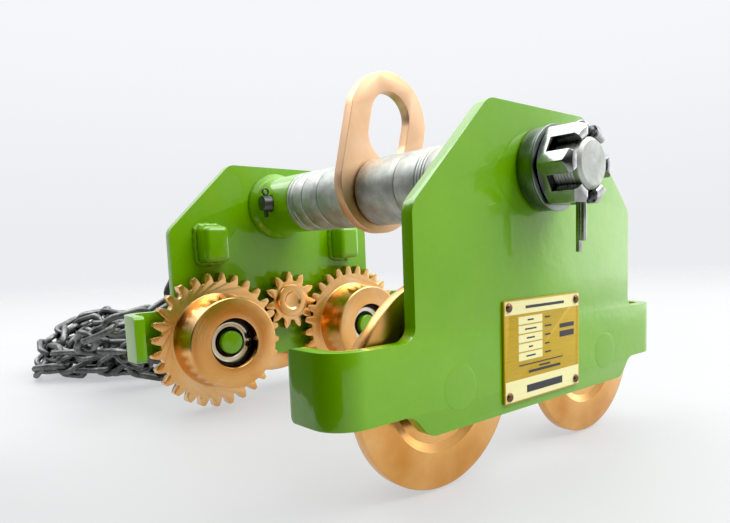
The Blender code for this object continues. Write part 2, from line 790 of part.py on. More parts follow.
def pinion_shaft(gold):
    """The pinion in one piece with its shaft, which passes through the drive plate."""
    near = PLATE_SPACING - FLANGE_GAP - GEAR_T - 0.6 * MM
    far = near + 8 * MM
    tip_r = MODULE * (PINION_TEETH / 2 + 1 + PINION_SHIFT) - 0.2 * MM
    teeth = gear_outline(PINION_TEETH, PINION_SHIFT, tip_r, pinion_phase())
    obj = upright_plate("pinion_shaft", [teeth], near, 8 * MM, gold, (0, PINION_Z))
    tail = CHAIN_WHEEL_Y + CHAIN_WHEEL_W / 2 + 3 * MM
    profile = [
        (0, tail),
        (SHAFT_R - 1 * MM, tail),
        (SHAFT_R, tail - 1 * MM),
        (SHAFT_R, far + 0.5 * MM),
        (11.5 * MM, far + 0.5 * MM),
        (11.5 * MM, near - 1.6 * MM),
        (10.7 * MM, near - 2.4 * MM),
        (0, near - 2.4 * MM),
    ]
    shaft = turned("pinion_shaft_core", profile, gold, 20, (0, PINION_Z), closed=False)
    boolean(obj, add_cutter(shaft), "UNION")


def shaft_bush(bronze):
    inner = PLATE_SPACING - 2.6 * MM
    outer = PLATE_SPACING + PLATE_T
    profile = [
        (BUSH_R + 4 * MM, outer + 2.4 * MM),
        (BUSH_R + 4 * MM, outer + GAP),
        (BUSH_R, outer + GAP),
        (BUSH_R, inner),
        (SHAFT_R + GAP, inner),
        (SHAFT_R + GAP, outer + 2.4 * MM),
    ]
    turned("shaft_bush", profile, bronze, 20, (0, PINION_Z), closed=True)


def hand_chain_wheel(gold):
    """The grooved wheel outside the drive plate that the hand chain turns."""
    low = CHAIN_WHEEL_Y - CHAIN_WHEEL_W / 2
    high = CHAIN_WHEEL_Y + CHAIN_WHEEL_W / 2
    groove_r = CHAIN_LINE_R - CHAIN_R - 1 * MM
    profile = [
        (CHAIN_WHEEL_R, high),
        (CHAIN_WHEEL_R, high - 2 * MM),
        (groove_r + 6 * MM, high - 3 * MM),
        (groove_r, CHAIN_WHEEL_Y + 5 * MM),
        (groove_r, CHAIN_WHEEL_Y - 5 * MM),
        (groove_r + 6 * MM, low + 3 * MM),
        (CHAIN_WHEEL_R, low + 2 * MM),
        (CHAIN_WHEEL_R, low),
        (groove_r - 3 * MM, low),
        (groove_r - 5 * MM, low + 7 * MM),
        (16 * MM, low + 7 * MM),
        (16 * MM, low - 2.5 * MM),
        (SHAFT_R + GAP, low - 2.5 * MM),
        (SHAFT_R + GAP, high - 5 * MM),
        (16 * MM, high - 5 * MM),
        (16 * MM, high - 9 * MM),
        (groove_r - 5 * MM, high - 9 * MM),
        (groove_r - 3 * MM, high),
    ]
    turned("hand_chain_wheel", profile, gold, 32, (0, PINION_Z), closed=True)


def shaft_nut(steel):
    hexagon = circle((0, 0), 12 * MM / math.cos(math.pi / 6), 6)
    bore = circle((0, 0), SHAFT_R + GAP, 20)
    near = CHAIN_WHEEL_Y + CHAIN_WHEEL_W / 2 - 5 * MM + GAP
    obj = upright_plate("shaft_nut", [hexagon, bore], near, 6.5 * MM, steel, (0, PINION_Z))


GUIDE_LOW = 48 * MM
GUIDE_HIGH = 98 * MM
GUIDE_WALL_X = 65 * MM
GUIDE_T = 3 * MM


def chain_guide(paint):
    """The bent strip round the chain wheel that keeps the chain on it."""
    foot = PLATE_SPACING + PLATE_T + GAP
    height = GUIDE_HIGH - GUIDE_LOW
    tab_x = GUIDE_WALL_X + 14 * MM
    half = [
        (tab_x, across(foot), 0),
        (tab_x, across(foot + GUIDE_T), 0),
        (GUIDE_WALL_X, across(foot + GUIDE_T), 1.5 * MM),
        (GUIDE_WALL_X, across(GUIDE_FAR), 6 * MM),
    ]
    inner = [
        (GUIDE_WALL_X - GUIDE_T, across(GUIDE_FAR - GUIDE_T), 3 * MM),
        (GUIDE_WALL_X - GUIDE_T, across(foot), 4.5 * MM),
    ]
    outline = half + [(-x, y, r) for x, y, r in reversed(half)]
    outline += [(-x, y, r) for x, y, r in reversed(inner)] + inner
    mesh = flat_mesh("chain_guide", [rounded(outline, math.radians(30))], height)
    obj = add("chain_guide", mesh, paint, (0, 0, (GUIDE_LOW + GUIDE_HIGH) / 2))
    place = (0, across(GUIDE_FAR), PINION_Z)
    boolean(obj, cylinder_cutter("guide_window", 17 * MM, 20 * MM, place, "Y", 24), "DIFFERENCE")
    for side in (-1, 1):
        place = (side * GUIDE_TAB_X, across(foot), GUIDE_BOLT_Z)
        hole = cylinder_cutter(f"guide_hole_{side}", GUIDE_BOLT_R + GAP, 20 * MM, place, "Y", 10)
        boolean(obj, hole, "DIFFERENCE")


def guide_bolts(steel):
    """The two cap screws that hold the chain guide on the drive plate."""
    seat = PLATE_SPACING + PLATE_T + GAP + GUIDE_T + GAP
    for end, side in (("front", -1), ("rear", 1)):
        profile = [
            (0, seat + 5 * MM),
            (5 * MM, seat + 5 * MM),
            (5 * MM, seat),
            (GUIDE_BOLT_R, seat),
            (GUIDE_BOLT_R, PLATE_SPACING + 0.5 * MM),
            (0, PLATE_SPACING + 0.5 * MM),
        ]
        centre = (side * GUIDE_TAB_X, GUIDE_BOLT_Z)
        turned(f"guide_bolt_{end}", profile, steel, 10, centre, closed=False)


def rating_plate(brass):
    outline = rounded(
        mirrored([(LABEL_HALF_W, LABEL_HIGH, 1 * MM), (LABEL_HALF_W, LABEL_LOW, 1 * MM)]),
        math.radians(45),
    )
    holes = [circle(place, RIVET_R + GAP, 8) for place in rivet_places()]
    upright_plate("rating_plate", [outline, *holes], -GAP - LABEL_T, LABEL_T, brass)


def rivets(steel):
    """Dome-headed drive rivets through the rating plate's corners."""
    seat = -GAP - LABEL_T - 0.15 * MM
    for i, centre in enumerate(rivet_places()):
        profile = [
            (0, 4 * MM),
            (RIVET_R, 4 * MM),
            (RIVET_R, seat),
            (2.1 * MM, seat),
            (1.6 * MM, seat - 0.8 * MM),
            (0, seat - 1.1 * MM),
        ]
        turned(f"rating_plate_rivet_{i + 1}", profile, steel, 8, centre, closed=False)


# The hand chain's way, in millimetres: (x, y from the plain plate's outer face, z)
STRAND_FRONT = (
    (-51.5, 255.5, 69.0),
    (-51.5, 255.5, 88.0),
    (-50.5, 256.5, 104.0),
    (-46.5, 264.0, 115.0),
    (-43.0, 275.0, 118.0),
    (-42.0, 285.0, 111.0),
    (-44.0, 289.0, 96.0),
    (-51.0, 290.5, 78.0),
    (-64.0, 291.0, 64.0),
    (-80.0, 291.5, 58.0),
    (-94.0, 293.0, 55.5),
    (-105.0, 303.0, 50.0),
    (-110.0, 320.0, 45.0),
    (-108.0, 340.0, 38.0),
    (-100.0, 358.0, 30.0),
)
STRAND_REAR = (
    (51.5, 255.5, 69.0),
    (51.5, 255.5, 88.0),
    (50.5, 256.5, 104.0),
    (46.0, 264.0, 115.0),
    (40.0, 275.0, 117.0),
    (33.0, 285.0, 108.0),
    (24.0, 290.0, 90.0),
    (8.0, 292.0, 70.0),
    (-12.0, 293.0, 52.0),
    (-36.0, 295.0, 40.0),
    (-58.0, 299.0, 34.0),
    (-76.0, 309.0, 31.0),
    (-84.0, 328.0, 29.0),
    (-80.0, 352.0, 27.0),
)
PILE_CENTRE = (-44, 431)
PILE_REACH = (88, 96)
PILE_RINGS = ((1, 0), (0.92, 15), (0.72, 32), (0.36, 46))  # share of the reach, and height
PILE_STEPS = 20


def smooth_way(points, spacing):
    """Points about that far apart on a Catmull-Rom curve through a row of points."""
    rows = [Vector(p) for p in points]
    rows = [rows[0] * 2 - rows[1], *rows, rows[-1] * 2 - rows[-2]]
    found = []
    for before, start, end, after in zip(rows, rows[1:], rows[2:], rows[3:]):
        steps = max(1, round((end - start).length / spacing))
        for i in range(steps):
            t = i / steps
            found.append(
                0.5
                * (
                    2 * start
                    + (end - before) * t
                    + (2 * before - 5 * start + 4 * end - after) * t**2
                    + (3 * start - before - 3 * end + after) * t**3
                )
            )
    return found + [rows[-2]]


def chain_way():
    """The way of the chain from the heap, over the chain wheel and back to the heap."""
    y = CHAIN_WHEEL_Y / MM
    z = PINION_Z / MM
    wrap = arc((0, z), CHAIN_LINE_R / MM, math.pi * 1.06, math.pi * 1.94, 14)
    around = [Vector((x, y, height)) for x, height in wrap]
    front = smooth_way(STRAND_FRONT, 16)
    rear = smooth_way(STRAND_REAR, 16)
    row = front[::-1] + around + rear
    return [Vector((p.x * MM, across(p.y * MM), p.z * MM)) for p in row]


def hand_chain(steel):
    """Plain solids in the chain's place: one for its hanging run, and one for the heap."""
    add("hand_chain_run", tube_mesh("hand_chain_run", chain_way(), CHAIN_R, 2), steel)
    body = bmesh.new()
    rows = []
    for share, height in PILE_RINGS:
        ellipse = []
        for x, y in circle((0, 0), share, PILE_STEPS):
            place = (x * PILE_REACH[0] * MM, y * PILE_REACH[1] * MM, height * MM)
            ellipse.append(body.verts.new(place))
        rows.append(ellipse)
    for low, high in zip(rows, rows[1:]):
        for i in range(PILE_STEPS):
            j = (i + 1) % PILE_STEPS
            body.faces.new((low[i], low[j], high[j], high[i]))
    body.faces.new(rows[0][::-1])
    body.faces.new(rows[-1])
    mesh = bpy.data.meshes.new("hand_chain_pile")
    body.to_mesh(mesh)
    body.free()
    obj = add("hand_chain_pile", mesh, steel)
    x, y = PILE_CENTRE
    obj.location = (x * MM, across(y * MM), 0)


def build():
    clear_scene()
    collection(PARTS)
    collection(CUTTERS)
    green = material("green_paint", (0.22, 0.5, 0.03), 0.25, 0.0)
    gold = material("gold_plating", (0.8, 0.5, 0.25), 0.3, 1.0)
    zinc = material("zinc_steel", (0.5, 0.52, 0.53), 0.4, 1.0)
    race = material("bearing_steel", (0.6, 0.6, 0.62), 0.25, 1.0)
    brass = material("rating_plate_gold", (0.75, 0.58, 0.2), 0.35, 1.0)
    chain = material("chain_steel", (0.35, 0.36, 0.37), 0.45, 1.0)
    bronze = material("bush_bronze", (0.6, 0.42, 0.2), 0.4, 1.0)

    plain_side_plate(green)
    drive_side_plate(green)
    anti_tilt_lugs(green)
    load_bar_socket(green)
    load_bar(zinc)
    castle_nut(zinc)
    nut_split_pin(zinc)
    socket_pin(zinc)
    socket_split_pin(zinc)
    spacers(zinc)
    suspension_lug(gold)
    plain_wheel("plain_wheel_front", -WHEEL_X, gold)
    plain_wheel("plain_wheel_rear", WHEEL_X, gold)
    gear_wheel("gear_wheel_front", -WHEEL_X, GEAR_PHASE, gold)
    gear_wheel("gear_wheel_rear", WHEEL_X, rear_gear_phase(), gold)
    wheel_fittings({"steel": green, "race": race, "zinc": zinc})
    pinion_shaft(gold)
    shaft_bush(bronze)
    hand_chain_wheel(gold)
    shaft_nut(zinc)
    chain_guide(green)
    guide_bolts(zinc)
    rating_plate(brass)
    rivets(zinc)
    hand_chain(chain)


build()
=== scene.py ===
import math
import random

import bmesh
import bpy
import numpy as np
from mathutils import Matrix, Vector


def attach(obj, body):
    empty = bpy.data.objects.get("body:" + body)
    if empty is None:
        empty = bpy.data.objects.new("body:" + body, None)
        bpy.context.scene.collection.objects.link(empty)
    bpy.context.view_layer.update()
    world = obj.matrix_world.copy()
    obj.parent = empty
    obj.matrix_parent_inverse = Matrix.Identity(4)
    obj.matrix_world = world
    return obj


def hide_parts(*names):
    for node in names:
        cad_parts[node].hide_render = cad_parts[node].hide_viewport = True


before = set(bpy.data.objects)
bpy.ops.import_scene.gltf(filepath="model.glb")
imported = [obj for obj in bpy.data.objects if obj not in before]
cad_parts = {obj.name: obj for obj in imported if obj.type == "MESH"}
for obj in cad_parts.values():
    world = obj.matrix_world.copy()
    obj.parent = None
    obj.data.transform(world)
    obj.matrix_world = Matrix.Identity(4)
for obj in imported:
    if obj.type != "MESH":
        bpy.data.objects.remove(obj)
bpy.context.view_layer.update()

MM = 0.001
GAP = 0.3 * MM

# Across the trolley, measured along Y from the outer face of the plain side plate.
Y_START = -123.5 * MM

# Side plates
PLATE_T = 6 * MM
PLATE_SPACING = 231.3 * MM
PLATE_HALF_W = 80 * MM
PLATE_TOP = 162.5 * MM
PLATE_TOP_HALF_W = 35.5 * MM
PLATE_SHOULDER = 118 * MM
PLATE_BOTTOM = 28 * MM
PLATE_CORNER_R = 9 * MM
PLATE_EDGE = 1.5 * MM
EAR_TOP = 66.4 * MM
EAR_BOTTOM = 38.2 * MM
EAR_INNER_R = 8 * MM
EAR_REACHES = (118 * MM, 113.5 * MM)
EAR_DEPTH = 29 * MM
BEND_STEPS = 16

# Wheels, bearings and axles
FLANGE_R = 44.86 * MM
WHEEL_X = 56 * MM
AXLE_Z = 45 * MM * math.cos(math.pi / 40)
FLANGE_GAP = 4.8 * MM
FLANGE_T = 6 * MM
GEAR_T = 7 * MM
TREAD_LENGTH = 22.7 * MM
TREAD_ROOT_R = 30.9 * MM
TREAD_END_R = 29.4 * MM
BEARING_R = 16 * MM
BEARING_BORE_R = 7.5 * MM
BEARING_W = 9 * MM
BEARING_INSET = 7.2 * MM
CIRCLIP_T = 1.3 * MM
AXLE_HEAD_R = 9.9 * MM
AXLE_SHOULDER_R = 9.2 * MM
AXLE_END = 4.4 * MM
RACE_INNER_R = 9.4 * MM
RACE_OUTER_R = 13.4 * MM
FACE_STEP_R = 29.2 * MM
FACE_RECESS_R = 25.5 * MM
FACE_RECESS = 1.8 * MM
AXLE_COLLAR_R = 13 * MM

# Gears
MODULE = 3 * MM
GEAR_TEETH = 28
PINION_TEETH = 11
PRESSURE_ANGLE = math.radians(20)
CENTRE_DISTANCE = 60.3 * MM
PINION_SHIFT = 0.5
GEAR_SHIFT = 0.16
BACKLASH = 0.45 * MM
GEAR_PHASE = math.radians(7)
PINION_Z = AXLE_Z + math.sqrt(CENTRE_DISTANCE**2 - WHEEL_X**2)

# Load bar, spacers and nut
BAR_Z = 135.2 * MM
BAR_R = 11 * MM
SPACER_R = 19.5 * MM
SPACER_BORE_R = 11.6 * MM
SHORT_OUTER_R = 18.5 * MM
NUT_WASHER_R = 19 * MM
SOCKET_END = 186.7 * MM
CROSS_PIN_Y = 208 * MM
CROSS_PIN_R = 5 * MM
NUT_BASE = -9.5 * MM
NUT_TIP = -26.4 * MM
NUT_SLOT_START = -13.8 * MM
NUT_ACROSS_FLATS = 32.5 * MM
SLOT_W = 7.4 * MM
SPLIT_PIN_Y = -20.9 * MM

# Suspension lug
LUG_Y = 114.4 * MM
LUG_T = 7 * MM
LUG_R = 28.6 * MM
LUG_FOOT = 5 * MM
LUG_HEAD = 43 * MM
LUG_BORE_R = 12 * MM
EYE_R = 14.6 * MM
EYE_LOW = 34.5 * MM
EYE_HIGH = 45.5 * MM
LUG_TILT = math.radians(13.8)

# Hand chain wheel and guide
CHAIN_WHEEL_Y = 255.5 * MM
CHAIN_WHEEL_R = 54 * MM
CHAIN_WHEEL_W = 24 * MM
CHAIN_LINE_R = 51.5 * MM
CHAIN_R = 8.8 * MM
GUIDE_FAR = 274 * MM
SHAFT_R = 8 * MM
BUSH_R = 11 * MM

# Rating plate
LABEL_HALF_W = 29.2 * MM
LABEL_LOW = 32 * MM
LABEL_HIGH = 78 * MM
LABEL_T = 1 * MM
RIVET_INSET = 3.2 * MM

ROOT = "frame"


def across(y):
    """World Y of a distance measured from the plain plate's outer face."""
    return Y_START + y


# ---------------------------------------------------------------- outlines


def arc(centre, radius, start, end, steps):
    points = []
    for i in range(steps + 1):
        a = start + (end - start) * i / steps
        points.append((centre[0] + radius * math.cos(a), centre[1] + radius * math.sin(a)))
    return points


def circle(centre, radius, steps=64):
    return arc(centre, radius, 0, 2 * math.pi, steps)[:-1]


def rounded(corners, step=math.radians(7), closed=True):
    """An outline from (x, y, radius) corners, each one rounded by an arc."""
    points = []
    last = len(corners) - 1
    for i, (x, y, radius) in enumerate(corners):
        if radius == 0 or (not closed and i in (0, last)):
            points.append((x, y))
            continue
        here = Vector((x, y))
        before = (Vector(corners[i - 1][:2]) - here).normalized()
        after = (Vector(corners[(i + 1) % len(corners)][:2]) - here).normalized()
        half = before.angle(after) / 2
        centre = here + (before + after).normalized() * radius / math.sin(half)
        start = here + before * radius / math.tan(half) - centre
        turn = (math.pi - 2 * half) * (1 if before.cross(after) < 0 else -1)
        steps = max(2, math.ceil(abs(turn) / step))
        first = math.atan2(start.y, start.x)
        points += arc(centre, radius, first, first + turn, steps)
    return points


def mirrored(corners):
    return corners + [(-x, y, radius) for x, y, radius in reversed(corners)]


def involute(angle):
    return math.tan(angle) - angle


def gear_outline(teeth, shift, tip_r, phase):
    """A spur gear's outline with involute flanks, and a tooth centred on the phase."""
    pitch_r = MODULE * teeth / 2
    base_r = pitch_r * math.cos(PRESSURE_ANGLE)
    root_r = pitch_r + MODULE * (shift - 1.25)
    thickness = MODULE * (math.pi / 2 + 2 * shift * math.tan(PRESSURE_ANGLE)) - BACKLASH / 2
    half_angle = thickness / (2 * pitch_r) + involute(PRESSURE_ANGLE)
    start_r = max(base_r, root_r + 0.6 * MM)
    steps = 6
    flank = []
    for i in range(steps + 1):
        radius = start_r + (tip_r - 0.25 * MM - start_r) * i / steps
        flank.append((radius, half_angle - involute(math.acos(base_r / radius))))
    flank.append((tip_r, flank[-1][1] - 0.25 * MM / tip_r))
    root_half = math.pi / teeth - flank[0][1]
    foot = []
    for share, lift in ((0.85, 0), (0.45, 0.04), (0.2, 0.2), (0.07, 0.5)):
        radius = root_r + (start_r - root_r) * lift
        foot.append((radius, flank[0][1] + root_half * share))
    flank = foot + flank
    points = []
    for i in range(teeth):
        middle = phase + 2 * math.pi * i / teeth
        polar = [(r, middle - a) for r, a in flank] + [(r, middle + a) for r, a in reversed(flank)]
        points += [(r * math.cos(a), r * math.sin(a)) for r, a in polar]
    return points


def pinion_phase():
    line = math.atan2(PINION_Z - AXLE_Z, WHEEL_X)
    offset = (GEAR_PHASE - line) / (2 * math.pi / GEAR_TEETH)
    space = math.pi + line - offset * 2 * math.pi / PINION_TEETH
    return space + math.pi / PINION_TEETH


def rear_gear_phase():
    space = pinion_phase() + math.pi / PINION_TEETH
    line = math.atan2(PINION_Z - AXLE_Z, WHEEL_X)
    offset = (-line - space) / (2 * math.pi / PINION_TEETH)
    return math.pi - line + offset * 2 * math.pi / GEAR_TEETH


# ---------------------------------------------------------------- materials


class Nodes:
    """A material's node tree, with short calls for the nodes that the finishes share."""

    def __init__(self, name):
        self.material = bpy.data.materials.new(name)
        self.material.use_nodes = True
        self.tree = self.material.node_tree
        self.shader = self.tree.nodes["Principled BSDF"]
        self.place = self.tree.nodes.new("ShaderNodeTexCoord").outputs["Object"]

    def link(self, output, target):
        self.tree.links.new(output, target)

    def put(self, target, value):
        if isinstance(value, bpy.types.NodeSocket):
            self.link(value, target)
        else:
            target.default_value = value

    def math(self, operation, a, b=0.0, clamp=False):
        node = self.tree.nodes.new("ShaderNodeMath")
        node.operation = operation
        node.use_clamp = clamp
        self.put(node.inputs[0], a)
        self.put(node.inputs[1], b)
        return node.outputs[0]

    def vector(self, operation, a, b=(0, 0, 0)):
        node = self.tree.nodes.new("ShaderNodeVectorMath")
        node.operation = operation
        self.put(node.inputs[0], a)
        self.put(node.inputs[1], b)
        return node.outputs["Value" if operation == "LENGTH" else "Vector"]

    def scaled(self, factors):
        return self.vector("MULTIPLY", self.place, factors)

    def noise(self, scale, detail=3.0, roughness=0.55, at=None):
        node = self.tree.nodes.new("ShaderNodeTexNoise")
        node.inputs["Scale"].default_value = scale
        node.inputs["Detail"].default_value = detail
        node.inputs["Roughness"].default_value = roughness
        self.link(self.place if at is None else at, node.inputs["Vector"])
        return node.outputs["Fac"]

    def lines(self, w, scale, detail=2.0):
        """Noise along one number, for turned and brushed lines."""
        node = self.tree.nodes.new("ShaderNodeTexNoise")
        node.noise_dimensions = "1D"
        node.inputs["Scale"].default_value = scale
        node.inputs["Detail"].default_value = detail
        self.link(w, node.inputs["W"])
        return node.outputs["Fac"]

    def voronoi(self, scale, feature="F1", at=None):
        node = self.tree.nodes.new("ShaderNodeTexVoronoi")
        node.feature = feature
        node.inputs["Scale"].default_value = scale
        self.link(self.place if at is None else at, node.inputs["Vector"])
        return node.outputs["Distance"]

    def ramp(self, factor, *stops):
        node = self.tree.nodes.new("ShaderNodeValToRGB")
        elements = node.color_ramp.elements
        while len(elements) < len(stops):
            elements.new(0.5)
        for element, (position, colour) in zip(elements, stops):
            element.position = position
            element.color = (*colour, 1) if len(colour) == 3 else colour
        self.link(factor, node.inputs[0])
        return node.outputs[0]

    def between(self, factor, low, high):
        """A factor of 0 to 1 as a number from low to high."""
        node = self.tree.nodes.new("ShaderNodeMapRange")
        self.put(node.inputs["Value"], factor)
        node.inputs["To Min"].default_value = low
        node.inputs["To Max"].default_value = high
        return node.outputs[0]

    def step(self, value, low, high):
        """0 below low and 1 above high."""
        node = self.tree.nodes.new("ShaderNodeMapRange")
        self.put(node.inputs["Value"], value)
        node.inputs["From Min"].default_value = low
        node.inputs["From Max"].default_value = high
        return node.outputs[0]

    def mix(self, factor, a, b, blend="MIX"):
        node = self.tree.nodes.new("ShaderNodeMix")
        node.data_type = "RGBA"
        node.blend_type = blend
        self.put(node.inputs["Factor"], factor)
        for socket, value in ((node.inputs["A"], a), (node.inputs["B"], b)):
            sockets = [s for s in node.inputs if s.name == socket.name and s.type == "RGBA"]
            self.put(sockets[0], (*value, 1) if isinstance(value, tuple) else value)
        return node.outputs["Result"] if node.outputs["Result"].type == "RGBA" else node.outputs[2]

    def bump(self, height, strength, distance, normal=None):
        node = self.tree.nodes.new("ShaderNodeBump")
        node.inputs["Strength"].default_value = strength
        node.inputs["Distance"].default_value = distance
        self.link(height, node.inputs["Height"])
        if normal is not None:
            self.link(normal, node.inputs["Normal"])
        return node.outputs["Normal"]

    def set(self, **values):
        names = {
            "colour": "Base Color",
            "roughness": "Roughness",
            "metallic": "Metallic",
            "normal": "Normal",
            "coat": "Coat Weight",
            "coat_roughness": "Coat Roughness",
            "coat_normal": "Coat Normal",
            "anisotropic": "Anisotropic",
            "specular": "Specular IOR Level",
            "ior": "IOR",
        }
        for key, value in values.items():
            if key == "colour" and isinstance(value, tuple):
                value = (*value, 1)
            self.put(self.shader.inputs[names[key]], value)
        return self.material


def green_paint():
    """Thick gloss lime paint with orange peel, a little darker where it pools."""
    n = Nodes("green_paint")
    broad = n.noise(18, 2)
    fine = n.noise(260, 2)
    colour = n.ramp(
        n.math("ADD", n.math("MULTIPLY", broad, 0.8), n.math("MULTIPLY", fine, 0.2)),
        (0.3, (0.125, 0.325, 0.003)),
        (0.55, (0.145, 0.355, 0.004)),
        (0.75, (0.165, 0.380, 0.005)),
    )
    peel = n.noise(330, 1.5, 0.4)
    ripple = n.noise(95, 1.0, 0.3)
    height = n.math("ADD", n.math("MULTIPLY", peel, 0.5), ripple)
    return n.set(
        colour=colour,
        roughness=n.between(n.noise(90, 3), 0.3, 0.42),
        normal=n.bump(height, 0.2, 0.0006),
        coat=0.8,
        coat_roughness=0.04,
        coat_normal=n.bump(height, 0.16, 0.0006),
        specular=0.2,
    )


def turned_lines(n):
    """The distance from the turning axis plus the place along it: turned lines follow either."""
    flat = n.scaled((1, 0, 1))
    radius = n.vector("LENGTH", flat)
    along = n.tree.nodes.new("ShaderNodeSeparateXYZ")
    n.link(n.place, along.inputs[0])
    return n.math("ADD", radius, along.outputs["Y"])


def gold_plating():
    """Yellow zinc plating on turned steel: coppery gold, its colour drifting with the film."""
    n = Nodes("gold_plating")
    lines = n.lines(turned_lines(n), 2600, 3)
    film = n.noise(38, 3)
    patches = n.noise(12, 2, at=n.scaled((1, 1.4, 0.8)))
    colour = n.ramp(
        n.math("ADD", n.math("MULTIPLY", film, 0.45), n.math("MULTIPLY", patches, 0.55)),
        (0.32, (0.64, 0.28, 0.055)),
        (0.46, (0.80, 0.43, 0.14)),
        (0.60, (0.87, 0.55, 0.26)),
        (0.74, (0.90, 0.66, 0.42)),
    )
    colour = n.mix(n.between(lines, 0.0, 0.3), colour, (0.50, 0.22, 0.05))
    pits = n.step(n.voronoi(420), 0.16, 0.06)
    colour = n.mix(n.math("MULTIPLY", pits, n.step(film, 0.5, 0.62)), colour, (0.16, 0.07, 0.03))
    grain = n.noise(900, 2)
    height = n.math("ADD", lines, n.math("MULTIPLY", grain, 0.5))
    gloss = n.math("ADD", n.math("MULTIPLY", lines, 0.5), n.math("MULTIPLY", film, 0.5))
    fan = n.tree.nodes.new("ShaderNodeTangent")
    fan.direction_type = "RADIAL"
    fan.axis = "Y"
    n.link(fan.outputs["Tangent"], n.shader.inputs["Tangent"])
    return n.set(
        colour=colour,
        metallic=1.0,
        roughness=n.between(gloss, 0.10, 0.36),
        normal=n.bump(height, 0.22, 0.00018),
        anisotropic=0.6,
        coat=0.25,
        coat_roughness=0.2,
    )


def lug_plating():
    """The same plating on punched sheet: satin and even, with a fine grain."""
    n = Nodes("lug_plating")
    film = n.noise(30, 3)
    colour = n.ramp(
        film,
        (0.3, (0.61, 0.37, 0.20)),
        (0.55, (0.68, 0.44, 0.27)),
        (0.75, (0.71, 0.49, 0.33)),
    )
    grain = n.noise(1500, 2)
    scratches = n.noise(220, 3, at=n.scaled((1, 1, 0.12)))
    height = n.math("ADD", grain, n.math("MULTIPLY", scratches, 0.7))
    return n.set(
        colour=colour,
        metallic=1.0,
        roughness=n.between(scratches, 0.34, 0.52),
        normal=n.bump(height, 0.16, 0.00012),
    )


def zinc_steel():
    """Dull grey zinc on turned steel, with fine turned lines and cloudy patches."""
    n = Nodes("zinc_steel")
    lines = n.lines(turned_lines(n), 2200, 3)
    clouds = n.noise(55, 4, 0.65)
    blots = n.noise(170, 3, 0.6)
    shade = n.math("ADD", n.math("MULTIPLY", clouds, 0.55), n.math("MULTIPLY", blots, 0.45))
    colour = n.ramp(
        shade,
        (0.30, (0.23, 0.245, 0.225)),
        (0.48, (0.39, 0.41, 0.38)),
        (0.60, (0.49, 0.51, 0.475)),
        (0.75, (0.64, 0.66, 0.63)),
    )
    height = n.math("ADD", lines, n.math("MULTIPLY", blots, 0.8))
    return n.set(
        colour=colour,
        metallic=0.85,
        roughness=n.between(
            n.math("ADD", n.math("MULTIPLY", lines, 0.4), n.math("MULTIPLY", shade, 0.6)),
            0.34,
            0.62,
        ),
        normal=n.bump(height, 0.25, 0.0002),
    )


def bright_zinc():
    """Brighter blue-white zinc, on the nut, pins and screws."""
    n = Nodes("bright_zinc")
    clouds = n.noise(90, 3, 0.6)
    colour = n.ramp(
        clouds,
        (0.3, (0.20, 0.20, 0.20)),
        (0.55, (0.36, 0.365, 0.36)),
        (0.75, (0.52, 0.53, 0.52)),
    )
    pits = n.noise(700, 3)
    return n.set(
        colour=colour,
        metallic=1.0,
        roughness=n.between(clouds, 0.14, 0.3),
        normal=n.bump(pits, 0.18, 0.00015),
    )


def dark_steel():
    """Blackened steel for the small split pin and the cross pin."""
    n = Nodes("dark_steel")
    clouds = n.noise(120, 3)
    colour = n.ramp(clouds, (0.3, (0.05, 0.052, 0.055)), (0.7, (0.14, 0.145, 0.15)))
    return n.set(
        colour=colour,
        metallic=0.9,
        roughness=n.between(clouds, 0.3, 0.55),
        normal=n.bump(n.noise(800, 2), 0.15, 0.0001),
    )


def chain_steel():
    """Grey zinc on bent wire: satin, darker in patches, with small dents."""
    n = Nodes("chain_steel")
    clouds = n.noise(70, 4, 0.6)
    specks = n.noise(420, 3, 0.6)
    shade = n.math("ADD", n.math("MULTIPLY", clouds, 0.6), n.math("MULTIPLY", specks, 0.4))
    colour = n.ramp(
        shade,
        (0.3, (0.055, 0.058, 0.058)),
        (0.5, (0.15, 0.155, 0.152)),
        (0.7, (0.32, 0.325, 0.322)),
    )
    return n.set(
        colour=colour,
        metallic=0.9,
        roughness=n.between(shade, 0.32, 0.58),
        normal=n.bump(specks, 0.25, 0.0002),
    )


def bearing_steel(name, low, high):
    """Ground or pressed steel with turned lines."""
    n = Nodes(name)
    lines = n.lines(turned_lines(n), 4200, 2)
    return n.set(
        colour=n.ramp(n.noise(80, 2), (0.3, low), (0.7, high)),
        metallic=1.0,
        roughness=n.between(lines, 0.18, 0.38),
        normal=n.bump(lines, 0.1, 0.0001),
    )


def black_oxide_and_painted_shade():
    """Blackened spring steel, with a little oil sheen, for the retaining rings; on the bearings'
    inner races its black is painted shade.
    """
    n = Nodes("black_oxide_and_painted_shade")
    mottle = n.noise(600, 3)
    return n.set(
        colour=n.ramp(mottle, (0.3, (0.006, 0.006, 0.007)), (0.7, (0.02, 0.02, 0.021))),
        metallic=0.6,
        roughness=n.between(mottle, 0.35, 0.55),
        normal=n.bump(mottle, 0.15, 0.0001),
    )


def bush_bronze():
    n = Nodes("bush_bronze")
    pores = n.voronoi(1600)
    colour = n.ramp(n.noise(90, 3), (0.3, (0.50, 0.30, 0.13)), (0.7, (0.66, 0.43, 0.20)))
    return n.set(
        colour=colour,
        metallic=1.0,
        roughness=n.between(n.noise(220, 3), 0.32, 0.5),
        normal=n.bump(pores, 0.2, 0.0001),
    )


def brushed_foil(name, low, high, metallic, roughness):
    """Thin printed metal with brushing along the plate."""
    n = Nodes(name)
    brushing = n.noise(60, 4, 0.7, at=n.scaled((1, 1, 60)))
    specks = n.noise(1100, 2)
    tint = n.math("ADD", n.math("MULTIPLY", brushing, 0.7), n.math("MULTIPLY", specks, 0.3))
    colour = n.ramp(tint, (0.35, low), (0.68, high))
    return n.set(
        colour=colour,
        metallic=metallic,
        roughness=n.between(tint, roughness, roughness + 0.16),
        normal=n.bump(tint, 0.1, 0.0001),
    )


